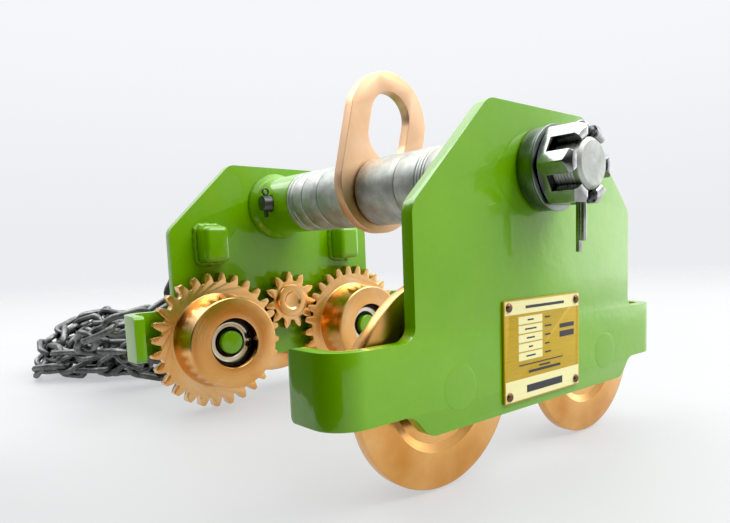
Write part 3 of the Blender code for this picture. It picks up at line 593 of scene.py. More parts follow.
def printed_ink():
    n = Nodes("printed_ink")
    mottle = n.noise(900, 3)
    colour = n.ramp(mottle, (0.3, (0.006, 0.007, 0.012)), (0.7, (0.02, 0.022, 0.032)))
    return n.set(
        colour=colour,
        roughness=n.between(mottle, 0.3, 0.45),
        normal=n.bump(mottle, 0.08, 0.00005),
    )


def floor_finish():
    """Pale lit table, bright enough to soften the shadows, that fades with distance into white."""
    n = Nodes("studio_floor")
    drift = n.noise(1.5, 2)
    n.set(
        colour=n.ramp(drift, (0.3, (0.16, 0.162, 0.162)), (0.7, (0.18, 0.182, 0.182))),
        roughness=n.between(n.noise(40, 3), 0.5, 0.6),
        specular=0.25,
    )
    n.shader.inputs["Emission Color"].default_value = (0.98, 0.99, 1.0, 1)
    n.shader.inputs["Emission Strength"].default_value = 0.49
    clear = n.tree.nodes.new("ShaderNodeBsdfTransparent")
    fade = n.tree.nodes.new("ShaderNodeMixShader")
    n.link(n.step(n.vector("LENGTH", n.place), 0.7, 2.6), fade.inputs["Fac"])
    n.link(n.shader.outputs[0], fade.inputs[1])
    n.link(clear.outputs[0], fade.inputs[2])
    n.link(fade.outputs[0], n.tree.nodes["Material Output"].inputs["Surface"])
    return n.material


def card_finish():
    """Black felt of the card that keeps light off the object's left side."""
    n = Nodes("dark_card")
    felt = n.noise(300, 3)
    return n.set(
        colour=n.ramp(felt, (0.3, (0.012, 0.013, 0.012)), (0.7, (0.02, 0.021, 0.02))),
        roughness=n.between(felt, 0.85, 0.95),
        specular=0.1,
    )


# ---------------------------------------------------------------- mesh helpers


def new_object(name, mesh, origin=(0, 0, 0)):
    obj = bpy.data.objects.new(name, mesh)
    obj.location = origin
    bpy.context.scene.collection.objects.link(obj)
    return obj


def body_object(name, body, origin=(0, 0, 0)):
    """An object with the mesh of a bmesh body, which is freed."""
    mesh = bpy.data.meshes.new(name)
    body.to_mesh(mesh)
    body.free()
    return new_object(name, mesh, origin)


def smooth(obj, degrees=32):
    obj.data.shade_smooth()
    obj.data.set_sharp_from_angle(angle=math.radians(degrees))
    return obj


def bevel(obj, width, segments=3, limit=40):
    edge = obj.modifiers.new("edges", "BEVEL")
    edge.width = width
    edge.segments = segments
    edge.limit_method = "ANGLE"
    edge.angle_limit = math.radians(limit)
    edge.harden_normals = False
    return obj


def applied(obj):
    """Turns the object's modifiers into plain mesh."""
    bpy.context.view_layer.update()
    graph = bpy.context.evaluated_depsgraph_get()
    mesh = bpy.data.meshes.new_from_object(obj.evaluated_get(graph))
    obj.modifiers.clear()
    obj.data = mesh
    return obj


def cut(obj, other, operation="DIFFERENCE"):
    """Applies one exact Boolean and removes the other object."""
    tool = obj.modifiers.new("cut", "BOOLEAN")
    tool.operation = operation
    tool.solver = "EXACT"
    tool.object = other
    applied(obj)
    bpy.data.objects.remove(other)
    return obj


def finish_piece(obj, body, slot, material, *nodes):
    """Gives a piece its body and its finish, and hides the CAD nodes it stands for; the slot is not
    used.
    """
    obj.data.materials.clear()
    obj.data.materials.append(material)
    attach(obj, body)
    if nodes:
        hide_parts(*nodes)
    return obj


def flat_mesh(name, outlines, thickness):
    """A flat solid in the XY plane from an outline and the outlines of its holes."""
    curve = bpy.data.curves.new(name, "CURVE")
    curve.dimensions = "2D"
    curve.fill_mode = "BOTH"
    curve.extrude = thickness / 2
    for outline in outlines:
        spline = curve.splines.new("POLY")
        spline.points.add(len(outline) - 1)
        for point, (x, y) in zip(spline.points, outline):
            point.co = (x, y, 0, 1)
        spline.use_cyclic_u = True
    obj = new_object(name, curve)
    bpy.context.view_layer.update()
    mesh = bpy.data.meshes.new_from_object(obj.evaluated_get(bpy.context.evaluated_depsgraph_get()))
    bpy.data.objects.remove(obj)
    bpy.data.curves.remove(curve)
    return welded(mesh)


def welded(mesh, triangles_to_faces=True):
    body = bmesh.new()
    body.from_mesh(mesh)
    bmesh.ops.remove_doubles(body, verts=body.verts, dist=1e-6)
    bmesh.ops.recalc_face_normals(body, faces=body.faces)
    if triangles_to_faces:
        bmesh.ops.dissolve_limit(
            body,
            angle_limit=math.radians(0.5),
            use_dissolve_boundaries=False,
            verts=[],
            edges=body.edges,
        )
    body.to_mesh(mesh)
    body.free()
    return mesh


def upright(mesh):
    mesh.transform(Matrix.Rotation(math.pi / 2, 4, "X"))
    return mesh


def prism(name, outlines, y_near, thickness, origin=(0, 0)):
    """A flat solid in the XZ plane, its local origin on (x, z) and on world y = 0."""
    mesh = upright(flat_mesh(name, outlines, thickness))
    mesh.transform(Matrix.Translation((0, across(y_near + thickness / 2), 0)))
    return new_object(name, mesh, (origin[0], 0, origin[1]))


def lathe(name, corners, centre, steps=96, closed=True, fillet_step=math.radians(30)):
    """A turned solid about a line along Y through (x, z), from (radius, y, fillet) corners."""
    profile = rounded(corners, fillet_step, closed)
    body = bmesh.new()
    rings = []
    for radius, y in profile:
        if radius < 1e-7:
            rings.append([body.verts.new((0, across(y), 0))] * steps)
            continue
        row = []
        for i in range(steps):
            a = 2 * math.pi * i / steps
            row.append(body.verts.new((radius * math.cos(a), across(y), radius * math.sin(a))))
        rings.append(row)
    count = len(rings) if closed else len(rings) - 1
    for k in range(count):
        low, high = rings[k], rings[(k + 1) % len(rings)]
        for i in range(steps):
            j = (i + 1) % steps
            loop = []
            for vert in (low[i], low[j], high[j], high[i]):
                if vert not in loop:
                    loop.append(vert)
            if len(loop) > 2:
                body.faces.new(loop)
    bmesh.ops.recalc_face_normals(body, faces=body.faces)
    return smooth(body_object(name, body, (centre[0], 0, centre[1])))


def cylinder(name, radius, length, centre, axis, steps=32):
    body = bmesh.new()
    bmesh.ops.create_cone(
        body, cap_ends=True, segments=steps, radius1=radius, radius2=radius, depth=length
    )
    if axis == "X":
        body.transform(Matrix.Rotation(math.pi / 2, 4, "Y"))
    if axis == "Y":
        body.transform(Matrix.Rotation(math.pi / 2, 4, "X"))
    return body_object(name, body, centre)


def box(name, size, centre):
    body = bmesh.new()
    bmesh.ops.create_cube(body, size=1)
    bmesh.ops.scale(body, vec=size, verts=body.verts)
    return body_object(name, body, centre)


# ---------------------------------------------------------------- side plates


def bend_ears(mesh, reaches):
    """Bends both ends of a flat XZ blank towards +Y, to ears of those reaches in X."""
    outer_r = EAR_INNER_R + PLATE_T
    neutral_r = EAR_INNER_R + PLATE_T / 2
    body = bmesh.new()
    body.from_mesh(mesh)
    for side, reach in zip((-1, 1), reaches):
        for i in range(BEND_STEPS + 1):
            cut_x = side * (reach - outer_r + neutral_r * math.pi / 2 * i / BEND_STEPS)
            bmesh.ops.bisect_plane(
                body,
                geom=body.verts[:] + body.edges[:] + body.faces[:],
                plane_co=(cut_x, 0, 0),
                plane_no=(1, 0, 0),
            )
    for vert in body.verts:
        start = reaches[vert.co.x > 0] - outer_r
        past = abs(vert.co.x) - start
        if past <= 0:
            continue
        depth = vert.co.y
        angle = min(past / neutral_r, math.pi / 2)
        straight = past - angle * neutral_r
        x = start + (outer_r - depth) * math.sin(angle)
        vert.co.x = math.copysign(x, vert.co.x)
        vert.co.y = outer_r - (outer_r - depth) * math.cos(angle) + straight
    bmesh.ops.recalc_face_normals(body, faces=body.faces)
    body.to_mesh(mesh)
    body.free()


def half_blank(reach):
    """The corners of the flat blank's right half, for an ear of that reach."""
    outer_r = EAR_INNER_R + PLATE_T
    bend_length = (EAR_INNER_R + PLATE_T / 2) * math.pi / 2
    end = reach - outer_r + bend_length + EAR_DEPTH - outer_r
    return [
        (PLATE_TOP_HALF_W, PLATE_TOP, PLATE_CORNER_R),
        (PLATE_HALF_W, PLATE_SHOULDER, PLATE_CORNER_R),
        (PLATE_HALF_W, EAR_TOP, 6 * MM),
        (end, EAR_TOP, 2.5 * MM),
        (end, EAR_BOTTOM, 2.5 * MM),
        (82.5 * MM, EAR_BOTTOM, 8 * MM),
        (73.5 * MM, PLATE_BOTTOM, 8 * MM),
    ]


def side_plate(name, reaches, holes):
    """A side plate with bent ears, its outer face on y = 0 and its ears towards +Y."""
    front = [(-x, y, radius) for x, y, radius in reversed(half_blank(reaches[0]))]
    outline = rounded(half_blank(reaches[1]) + front)
    mesh = upright(flat_mesh(name, [outline, *holes], PLATE_T))
    mesh.transform(Matrix.Translation((0, PLATE_T / 2, 0)))
    bend_ears(mesh, reaches)
    obj = new_object(name, mesh)
    bevel(obj, PLATE_EDGE, 4)
    applied(obj)
    return smooth(obj, 35)


def rivet_places():
    places = []
    for x in (RIVET_INSET - LABEL_HALF_W, LABEL_HALF_W - RIVET_INSET):
        for z in (LABEL_LOW + RIVET_INSET, LABEL_HIGH - RIVET_INSET):
            places.append((x, z))
    return places


def placed_mesh(obj, matrix):
    obj.data.transform(matrix)
    return obj


def side_plates(paint):
    bar_hole = circle((0, BAR_Z), BAR_R + GAP)
    plain = side_plate("plate_plain_painted", EAR_REACHES, [bar_hole])
    placed_mesh(plain, Matrix.Translation((0, across(0), 0)))
    finish_piece(plain, ROOT, "green_paint", paint, "side_plate_plain")
    holes = [bar_hole, circle((0, PINION_Z), BUSH_R + GAP)]
    for side in (-1, 1):
        holes.append(circle((side * 72.5 * MM, 73 * MM), 3 * MM + GAP, 32))
    drive = side_plate("plate_drive_painted", EAR_REACHES, holes)
    turn = Matrix.Rotation(math.pi, 4, "Z")
    far = PLATE_SPACING + PLATE_T
    placed_mesh(drive, Matrix.Translation((0, across(far), 0)) @ turn)
    finish_piece(drive, ROOT, "green_paint", paint, "side_plate_drive")


def anti_tilt_lugs(paint):
    """Forged blocks with a weld bead round their feet."""
    size = Vector((18.5, 15, 25)) * MM
    rows = (("plain", PLATE_T + GAP, 1), ("drive", PLATE_SPACING - GAP, -1))
    for plate, foot, inward in rows:
        for end, side in (("front", -1), ("rear", 1)):
            centre = (side * 54 * MM, across(foot + inward * size.y / 2), 108.5 * MM)
            obj = box(f"stop_block_{plate}_{end}", size, (0, 0, 0))
            for vert in obj.data.vertices:
                if vert.co.y * inward > 0:
                    vert.co.x *= 0.93
                    vert.co.z *= 0.95
            placed_mesh(obj, Matrix.Translation(centre))
            bevel(obj, 3.8 * MM, 6)
            applied(obj)
            weld_bead(obj, centre, foot, inward, size)
            smooth(obj, 50)
            node = f"anti_tilt_lug_{plate}_{end}"
            finish_piece(obj, ROOT, "green_paint", paint, node)


def weld_bead(obj, centre, foot, inward, size):
    """Adds a rippled fillet weld round the block's foot, as a closed ring in the same mesh."""
    loop = rounded(
        [
            (centre[0] - size.x / 2, centre[2] - size.z / 2, 4 * MM),
            (centre[0] + size.x / 2, centre[2] - size.z / 2, 4 * MM),
            (centre[0] + size.x / 2, centre[2] + size.z / 2, 4 * MM),
            (centre[0] - size.x / 2, centre[2] + size.z / 2, 4 * MM),
        ],
        math.radians(15),
    )
    path = evenly([Vector((x, 0, z)) for x, z in loop], 1.1 * MM, closed=True)
    body = bmesh.new()
    body.from_mesh(obj.data)
    rows = []
    middle = Vector((centre[0], 0, centre[2]))
    for i, point in enumerate(path):
        out = (point - middle).normalized()
        ripple = 1 + 0.12 * math.sin(i * 1.35)
        row = []
        for a in (-0.15, 0.25, 0.6, 0.95, 1.3, 1.72):
            spread = 2.3 * MM * ripple
            place = point + out * (spread * math.cos(a) - 0.3 * MM)
            place.y = across(foot + inward * (spread * math.sin(a) * 0.85 + 0.1 * MM))
            row.append(body.verts.new(place))
        back = point - out * 1.5 * MM
        back.y = across(foot + inward * 1.2 * MM)
        row.append(body.verts.new(back))
        base = point - out * 1.5 * MM
        base.y = across(foot + inward * 0.1 * MM)
        row.append(body.verts.new(base))
        rows.append(row)
    for i, low in enumerate(rows):
        high = rows[(i + 1) % len(rows)]
        for k in range(len(low)):
            m = (k + 1) % len(low)
            body.faces.new((low[k], low[m], high[m], high[k]))
    bmesh.ops.recalc_face_normals(body, faces=body.faces)
    body.to_mesh(obj.data)
    body.free()


def evenly(points, spacing, closed=False):
    """Points about that far apart along a row of points."""
    row = points + [points[0]] if closed else points
    lengths = [(b - a).length for a, b in zip(row, row[1:])]
    total = sum(lengths)
    count = max(2, round(total / spacing))
    found = []
    k, done = 0, 0.0
    for i in range(count if closed else count + 1):
        target = total * i / count
        while k < len(lengths) - 1 and done + lengths[k] < target - 1e-12:
            done += lengths[k]
            k += 1
        found.append(row[k].lerp(row[k + 1], (target - done) / max(lengths[k], 1e-9)))
    return found


# ---------------------------------------------------------------- load bar and what is on it


def load_bar_socket(paint):
    foot = PLATE_SPACING - GAP
    profile = [
        (SPACER_R + 4 * MM, foot, 0.4 * MM),
        (SPACER_R + 2.9 * MM, foot - 2.2 * MM, 2 * MM),
        (SPACER_R, foot - 5 * MM, 2.5 * MM),
        (SPACER_R, SOCKET_END, 0.9 * MM),
        (BAR_R + GAP, SOCKET_END, 0.4 * MM),
        (BAR_R + GAP, foot, 0),
    ]
    obj = lathe("socket_painted", profile, (0, BAR_Z), 96)
    hole = cylinder("socket_hole", 5.6 * MM, 60 * MM, (0, across(CROSS_PIN_Y), BAR_Z), "X", 40)
    smooth(cut(obj, hole), 32)
    finish_piece(obj, ROOT, "green_paint", paint, "load_bar_socket")


def load_bar(zinc):
    """The bar, with its screw thread as rings under and past the castle nut."""
    end = -27 * MM
    far = PLATE_SPACING + PLATE_T - 0.5 * MM
    profile = [(0, far, 0), (BAR_R, far, 0.8 * MM)]
    crest = -7 * MM
    pitch = 1.5 * MM
    while crest > end + 4 * MM:
        profile += [(BAR_R, crest, 0.1 * MM), (BAR_R - 0.75 * MM, crest - pitch / 2, 0.1 * MM)]
        crest -= pitch
    profile += [
        (BAR_R - 0.1 * MM, crest, 0.2 * MM),
        (BAR_R - 0.1 * MM, end + 1.5 * MM, 0.3 * MM),
        (BAR_R - 1.5 * MM, end, 0.4 * MM),
        (0, end, 0),
    ]
    obj = lathe("load_bar_turned", profile, (0, BAR_Z), 80, closed=False)
    hole = cylinder("bar_hole", 3 * MM, 40 * MM, (0, across(SPLIT_PIN_Y), BAR_Z), "Z", 32)
    cut(obj, hole)
    place = (0, across(CROSS_PIN_Y), BAR_Z)
    hole = cylinder("bar_hole", CROSS_PIN_R + GAP, 40 * MM, place, "X", 32)
    smooth(cut(obj, hole), 40)
    finish_piece(obj, ROOT, "zinc_steel", zinc, "load_bar")


def castle_nut(zinc):
    height = NUT_BASE - NUT_TIP
    corner_r = NUT_ACROSS_FLATS / 2 / math.cos(math.pi / 6)
    hexagon = rounded([(*p, 0.8 * MM) for p in circle((0, 0), corner_r, 6)], math.radians(20))
    obj = prism("castle_nut_forged", [hexagon], NUT_TIP, height, (0, BAR_Z))
    flat_r = NUT_ACROSS_FLATS / 2
    blank = lathe(
        "nut_blank",
        [
            (0, NUT_BASE, 0),
            (flat_r - 0.3 * MM, NUT_BASE, 0.3 * MM),
            (corner_r + 0.1 * MM, NUT_BASE - 1.8 * MM, 0.6 * MM),
            (corner_r + 0.1 * MM, NUT_TIP + 2.9 * MM, 1.5 * MM),
            (flat_r - 1.2 * MM, NUT_TIP + 0.02 * MM, 0.8 * MM),
            (0, NUT_TIP + 0.02 * MM, 0),
        ],
        (0, BAR_Z),
        72,
        closed=False,
    )
    cut(obj, blank, "INTERSECT")
    bore = lathe(
        "nut_bore",
        [
            (0, NUT_BASE + 1 * MM, 0),
            (BAR_R + 1.4 * MM, NUT_BASE + 1 * MM, 0),
            (BAR_R + 1.2 * MM, NUT_BASE, 0),
            (BAR_R + GAP, NUT_BASE - 1 * MM, 0),
            (BAR_R + GAP, NUT_TIP + 0.8 * MM, 0),
            (BAR_R + 1.2 * MM, NUT_TIP, 0),
            (BAR_R + 1.6 * MM, NUT_TIP - 1 * MM, 0),
            (0, NUT_TIP - 1 * MM, 0),
        ],
        (0, BAR_Z),
        72,
        closed=False,
    )
    cut(obj, bore)
    for i in range(3):
        slot = box("nut_slot", (SLOT_W, 16 * MM, 60 * MM), (0, 0, 0))
        slot.rotation_euler = (0, i * math.pi / 3, 0)
        slot.location = (0, across(NUT_SLOT_START - 8 * MM), BAR_Z)
        bpy.context.view_layer.update()
        cut(obj, slot)
    bevel(obj, 0.35 * MM, 2, 35)
    applied(obj)
    smooth(obj, 38)
    finish_piece(obj, ROOT, "zinc_steel", zinc, "castle_nut")


def split_pin(name, wire_r, eye_r, leg_lengths, place, turn=0.0):
    """Half-round wire bent into an eye with two legs side by side, their flats facing."""
    leg_x = wire_r + 0.2 * MM
    neck = math.asin(leg_x / eye_r)
    loop = arc((0, eye_r * math.cos(neck)), eye_r, -math.pi / 2 + neck, 1.5 * math.pi - neck, 28)
    points = [(leg_x, -leg_lengths[0]), (leg_x, -leg_lengths[0] / 2)]
    points += loop
    points += [(-leg_x, -leg_lengths[1] / 2), (-leg_x, -leg_lengths[1])]
    section = [(-0.85 * wire_r, -1.1 * wire_r), (-0.85 * wire_r, 1.1 * wire_r)]
    section += arc((-0.35 * wire_r, 0), 1.35 * wire_r, 0.9, -0.9, 10)
    body = bmesh.new()
    rows = []
    for i, (x, z) in enumerate(points):
        before, after = points[max(i - 1, 0)], points[min(i + 1, len(points) - 1)]
        ahead = Vector((after[0] - before[0], after[1] - before[1])).normalized()
        row = []
        for out, level in section:
            row.append(body.verts.new((x + ahead.y * out, level, z - ahead.x * out)))
        rows.append(row)
    for low, high in zip(rows, rows[1:]):
        for k in range(len(low)):
            m = (k + 1) % len(low)
            body.faces.new((low[k], low[m], high[m], high[k]))
    body.faces.new(rows[0][::-1])
    body.faces.new(rows[-1])
    bmesh.ops.recalc_face_normals(body, faces=body.faces)
    body.transform(Matrix.Translation(place) @ Matrix.Rotation(turn, 4, "Z"))
    obj = body_object(name, body)
    bevel(obj, 0.12 * MM, 2, 50)
    return smooth(applied(obj), 50)


def pins(zinc, dark):
    place = (0, across(SPLIT_PIN_Y), BAR_Z + 13.2 * MM)
    legs = (45.5 * MM, 50.3 * MM)
    obj = split_pin("nut_pin_wire", 1.1 * MM, 2.4 * MM, legs, place, -math.pi / 2)
    finish_piece(obj, ROOT, "zinc_steel", zinc, "castle_nut_split_pin")
    place = (-22.3 * MM, across(CROSS_PIN_Y), BAR_Z + 5.9 * MM)
    obj = split_pin("socket_pin_wire", 0.65 * MM, 2.2 * MM, (15 * MM, 15.5 * MM), place)
    finish_piece(obj, ROOT, "zinc_steel", dark, "socket_split_pin")
    obj = cylinder("cross_pin_turned", CROSS_PIN_R, 47 * MM, (0, 0, 0), "X", 40)
    placed_mesh(obj, Matrix.Translation((-2 * MM, across(CROSS_PIN_Y), BAR_Z)))
    head = cylinder("head", 8 * MM, 5 * MM, (23.2 * MM, across(CROSS_PIN_Y), BAR_Z), "X", 40)
    cut(obj, head, "UNION")
    hole = cylinder("hole", 1.7 * MM, 20 * MM, (-22.3 * MM, across(CROSS_PIN_Y), BAR_Z), "Z", 20)
    cut(obj, hole)
    bevel(obj, 0.5 * MM, 2, 50)
    applied(obj)
    smooth(obj, 35)
    finish_piece(obj, ROOT, "zinc_steel", dark, "socket_cross_pin")


SPACERS = (
    ("spacer_washer_far", 183.6, 186.7),
    ("spacer_thin_far", 179.4, 183.6),
    ("spacer_short_far", 168.6, 179.4),
    ("spacer_medium_far", 151.8, 168.6),
    ("spacer_long_far", 122.4, 151.8),
    ("spacer_long_near", 80.1, 113.4),
    ("spacer_medium_near", 63.8, 80.1),
    ("shim_washer_1", 61.6, 63.8),
    ("shim_washer_2", 59.4, 61.6),
    ("shim_washer_3", 57.2, 59.4),
    ("spacer_tube_near", 6.3, 57.2),
    ("spacer_short_outer", -8.1, -0.3),
)


def spacers(zinc, outer_zinc):
    for i, (name, near, far) in enumerate(SPACERS):
        low, high = near * MM, far * MM - GAP
        edge = min(0.55 * MM, (high - low) * 0.22)
        outer = SHORT_OUTER_R if name == "spacer_short_outer" else SPACER_R - i % 2 * 0.12 * MM
        profile = [
            (outer, high, edge),
            (outer, low, edge),
            (SPACER_BORE_R, low, 0.3 * MM),
            (SPACER_BORE_R, high, 0.3 * MM),
        ]
        obj = lathe(f"{name}_turned", profile, (0, BAR_Z), 96)
        finish_piece(obj, ROOT, "zinc_steel", outer_zinc if outer == SHORT_OUTER_R else zinc, name)
    profile = [
        (NUT_WASHER_R, -8.1 * MM, 0.2 * MM),
        (NUT_WASHER_R, -9.2 * MM, 0.3 * MM),
        (SPACER_BORE_R, -9.2 * MM, 0.2 * MM),
        (SPACER_BORE_R, -8.1 * MM, 0.2 * MM),
    ]
    obj = lathe("nut_washer_turned", profile, (0, BAR_Z), 96)
    finish_piece(obj, ROOT, "zinc_steel", outer_zinc, "nut_washer")


def suspension_lug(gold):
    outline = arc((0, LUG_FOOT), LUG_R, math.pi, 2 * math.pi, 48)
    outline += arc((0, LUG_HEAD), LUG_R, 0, math.pi, 48)
    eye = arc((0, EYE_LOW), EYE_R, math.pi, 2 * math.pi, 32)
    eye += arc((0, EYE_HIGH), EYE_R, 0, math.pi, 32)
    obj = prism("eye_plate_punched", [outline, eye, circle((0, 0), LUG_BORE_R)], LUG_Y, LUG_T)
    tilt = Matrix.Translation((0, 0, BAR_Z)) @ Matrix.Rotation(LUG_TILT, 4, "Y")
    placed_mesh(obj, tilt)
    bevel(obj, 0.7 * MM, 3)
    applied(obj)
    smooth(obj, 35)
    finish_piece(obj, "suspension_lug", "gold_plating", gold, "suspension_lug")


# ---------------------------------------------------------------- wheels


def wheel_bore(flange_y, end_y):
    """The stepped bore, from the tread's end back to the flange's face, with small chamfers."""
    into = 1 if flange_y > end_y else -1
    bearing = end_y + into * BEARING_INSET
    groove = bearing - into * (CIRCLIP_T + 0.5 * MM)
    back = bearing + into * (BEARING_W + GAP)
    return [
        (BEARING_R + 0.4 * MM, end_y, 0.1 * MM),
        (BEARING_R, end_y + into * 0.4 * MM, 0.1 * MM),
        (BEARING_R, groove, 0),
        (BEARING_R + 1 * MM, groove, 0),
        (BEARING_R + 1 * MM, bearing - into * 0.2 * MM, 0),
        (BEARING_R, bearing - into * 0.2 * MM, 0),
        (BEARING_R, back, 0),
        (AXLE_COLLAR_R + 0.6 * MM, back, 0.2 * MM),
        (AXLE_COLLAR_R + 0.6 * MM, flange_y, 0.5 * MM),
    ]


def plain_wheels(gold):
    for end, side in (("front", -1), ("rear", 1)):
        near = PLATE_T + FLANGE_GAP
        flange_far = near + FLANGE_T
        far = flange_far + TREAD_LENGTH
        profile = [
            (TREAD_END_R, far, 1 * MM),
            (TREAD_ROOT_R, flange_far, 2.2 * MM),
            (FLANGE_R - 2.5 * MM, flange_far - 0.3 * MM, 1.5 * MM),
            (FLANGE_R, flange_far - 1 * MM, 0.6 * MM),
            (FLANGE_R, near, 0.7 * MM),
            (FACE_STEP_R, near, 0.25 * MM),
            (FACE_RECESS_R, near + FACE_RECESS, 0.25 * MM),
        ]
        bore = wheel_bore(near + FACE_RECESS, far)
        centre = (side * WHEEL_X, AXLE_Z)
        obj = lathe(f"plain_wheel_{end}_turned", profile + bore[::-1], centre, 144)
        body = f"plain_wheel_{end}"
        finish_piece(obj, body, "gold_plating", gold, body)


def gear_wheels(gold):
    far = PLATE_SPACING - FLANGE_GAP
    gear_near = far - GEAR_T
    end = gear_near - TREAD_LENGTH
    for where, side, phase in (("front", -1, GEAR_PHASE), ("rear", 1, rear_gear_phase())):
        centre = (side * WHEEL_X, AXLE_Z)
        teeth = gear_outline(GEAR_TEETH, GEAR_SHIFT, FLANGE_R, phase)
        hole = circle((0, 0), BEARING_R + 4 * MM, 72)
        obj = prism(f"gear_wheel_{where}_cut", [teeth, hole], gear_near, GEAR_T, centre)
        bevel(obj, 0.35 * MM, 2, 60)
        applied(obj)
        profile = [
            (BEARING_R + 7 * MM, far - 1 * MM, 0),
            (TREAD_ROOT_R, far - 1 * MM, 0),
            (TREAD_ROOT_R, gear_near + 0.5 * MM, 0),
            (TREAD_ROOT_R + 1.4 * MM, gear_near + 0.1 * MM, 0),
            (TREAD_ROOT_R + 0.3 * MM, gear_near - 0.4 * MM, 0),
            (TREAD_ROOT_R, gear_near - 1.4 * MM, 0),
            (TREAD_END_R, end, 1 * MM),
        ]
        profile += wheel_bore(far, end)[:-1]
        profile += [
            (AXLE_COLLAR_R + 0.6 * MM, far - 0.4 * MM, 0),
            (BEARING_R + 7 * MM, far - 0.4 * MM, 0),
        ]
        hub = lathe("hub", profile, centre, 120)
        cut(obj, hub, "UNION")
        smooth(obj, 30)
        body = f"gear_wheel_{where}"
        finish_piece(obj, body, "gold_plating", gold, body)


def wheel_places():
    far = PLATE_SPACING + PLATE_T
    return (
        ("plain_front", "plain_wheel_front", -WHEEL_X, 0, 1),
        ("plain_rear", "plain_wheel_rear", WHEEL_X, 0, 1),
        ("gear_front", "gear_wheel_front", -WHEEL_X, far, -1),
        ("gear_rear", "gear_wheel_rear", WHEEL_X, far, -1),
    )


def wheel_fittings(paint, race_painted_shade, dark, shield):
    """Axle, bearing and circlip of each wheel, mirrored for the two side plates."""
    for name, wheel, x, plate, inward in wheel_places():
        flange = FLANGE_T if "plain" in name else GEAR_T
        end = PLATE_T + FLANGE_GAP + flange + TREAD_LENGTH
        race_far = end - BEARING_INSET - 0.1 * MM
        race_near = race_far - BEARING_W + 0.2 * MM
        centre = (x, AXLE_Z)

        def at(depth, plate=plate, inward=inward):
            return plate + inward * depth

        axle = [
            (0, at(-0.07 * MM), 0),
            (AXLE_HEAD_R - 0.9 * MM, at(-0.06 * MM), 1 * MM),
            (AXLE_HEAD_R, at(0.04 * MM), 0.1 * MM),
            (AXLE_HEAD_R, at(PLATE_T - 0.3 * MM), 0),
            (AXLE_COLLAR_R, at(PLATE_T - 0.3 * MM), 0),
            (AXLE_COLLAR_R, at(PLATE_T + 3 * MM), 0.5 * MM),
            (AXLE_SHOULDER_R, at(PLATE_T + 3 * MM), 0.4 * MM),
            (AXLE_SHOULDER_R, at(race_near - GAP), 0.3 * MM),
            (BEARING_BORE_R, at(race_near - GAP), 0),
            (BEARING_BORE_R, at(end - AXLE_END), 1.1 * MM),
            (0, at(end - AXLE_END), 0),
        ]
        obj = lathe(f"axle_{name}_turned", axle, centre, 64, closed=False)
        finish_piece(obj, ROOT, "green_paint", paint, f"axle_{name}")
        # The inner races get the black steel as painted shade, deep in the bore.
        inner = [
            (RACE_INNER_R, at(race_near), 0.3 * MM),
            (RACE_INNER_R, at(race_far), 0.3 * MM),
            (BEARING_BORE_R + GAP, at(race_far), 0.5 * MM),
            (BEARING_BORE_R + GAP, at(race_near), 0.5 * MM),
        ]
        obj = lathe(f"inner_race_{name}", inner, centre, 64)
        finish_piece(obj, ROOT, "bearing_steel", dark, f"bearing_inner_{name}")
        # The outer races get darkened steel: painted shade of the bore they sit deep in.
        outer = [
            (BEARING_R - GAP, at(race_near), 0.5 * MM),
            (BEARING_R - GAP, at(race_far), 0.6 * MM),
            (RACE_OUTER_R, at(race_far), 0.3 * MM),
            (RACE_OUTER_R, at(race_near), 0.3 * MM),
        ]
        obj = lathe(f"outer_race_{name}", outer, centre, 80)
        finish_piece(obj, wheel, "bearing_steel", race_painted_shade, f"bearing_outer_{name}")
        plate_ring = [
            (RACE_OUTER_R - 0.05 * MM, at(race_far - 0.35 * MM), 0.15 * MM),
            (12.9 * MM, at(race_far - 0.1 * MM), 0.25 * MM),
            (12.3 * MM, at(race_far - 0.4 * MM), 0.3 * MM),
            (10.4 * MM, at(race_far - 0.25 * MM), 0.4 * MM),
            (RACE_INNER_R + 0.25 * MM, at(race_far - 0.7 * MM), 0.2 * MM),
            (RACE_INNER_R + 0.25 * MM, at(race_near + 0.6 * MM), 0.2 * MM),
            (RACE_OUTER_R - 0.05 * MM, at(race_near + 0.6 * MM), 0.2 * MM),
        ]
        obj = lathe(f"bearing_shield_{name}", plate_ring, centre, 80)
        finish_piece(obj, wheel, "bearing_steel", shield)
        circlip(name, wheel, centre, at(race_far + GAP), inward, dark)


def circlip(name, wheel, centre, y, inward, steel):
    """An internal retaining ring with an eye at each end of its gap, open at +X."""
    gap, ear = math.radians(5), math.radians(14)
    outer_r, inner_r, ear_r = BEARING_R + 0.5 * MM, BEARING_R - 2.5 * MM, BEARING_R - 4.6 * MM
    outline = arc((0, 0), outer_r, gap, 2 * math.pi - gap, 72)
    outline += arc((0, 0), ear_r, -gap, -gap - ear, 4)
    outline += arc((0, 0), inner_r, 2 * math.pi - gap - ear * 1.3, gap + ear * 1.3, 72)
    outline += arc((0, 0), ear_r, gap + ear, gap, 4)
    holes = []
    for a in (gap + ear / 2, -gap - ear / 2):
        r = ear_r + 1.3 * MM
        holes.append(circle((r * math.cos(a), r * math.sin(a)), 0.7 * MM, 20))
    near = min(y, y + inward * CIRCLIP_T)
    obj = prism(f"retaining_ring_{name}", [outline, *holes], near, CIRCLIP_T, centre)
    bevel(obj, 0.18 * MM, 2)
    applied(obj)
    smooth(obj, 35)
    finish_piece(obj, wheel, "zinc_steel", steel, f"circlip_{name}")


# ---------------------------------------------------------------- drive


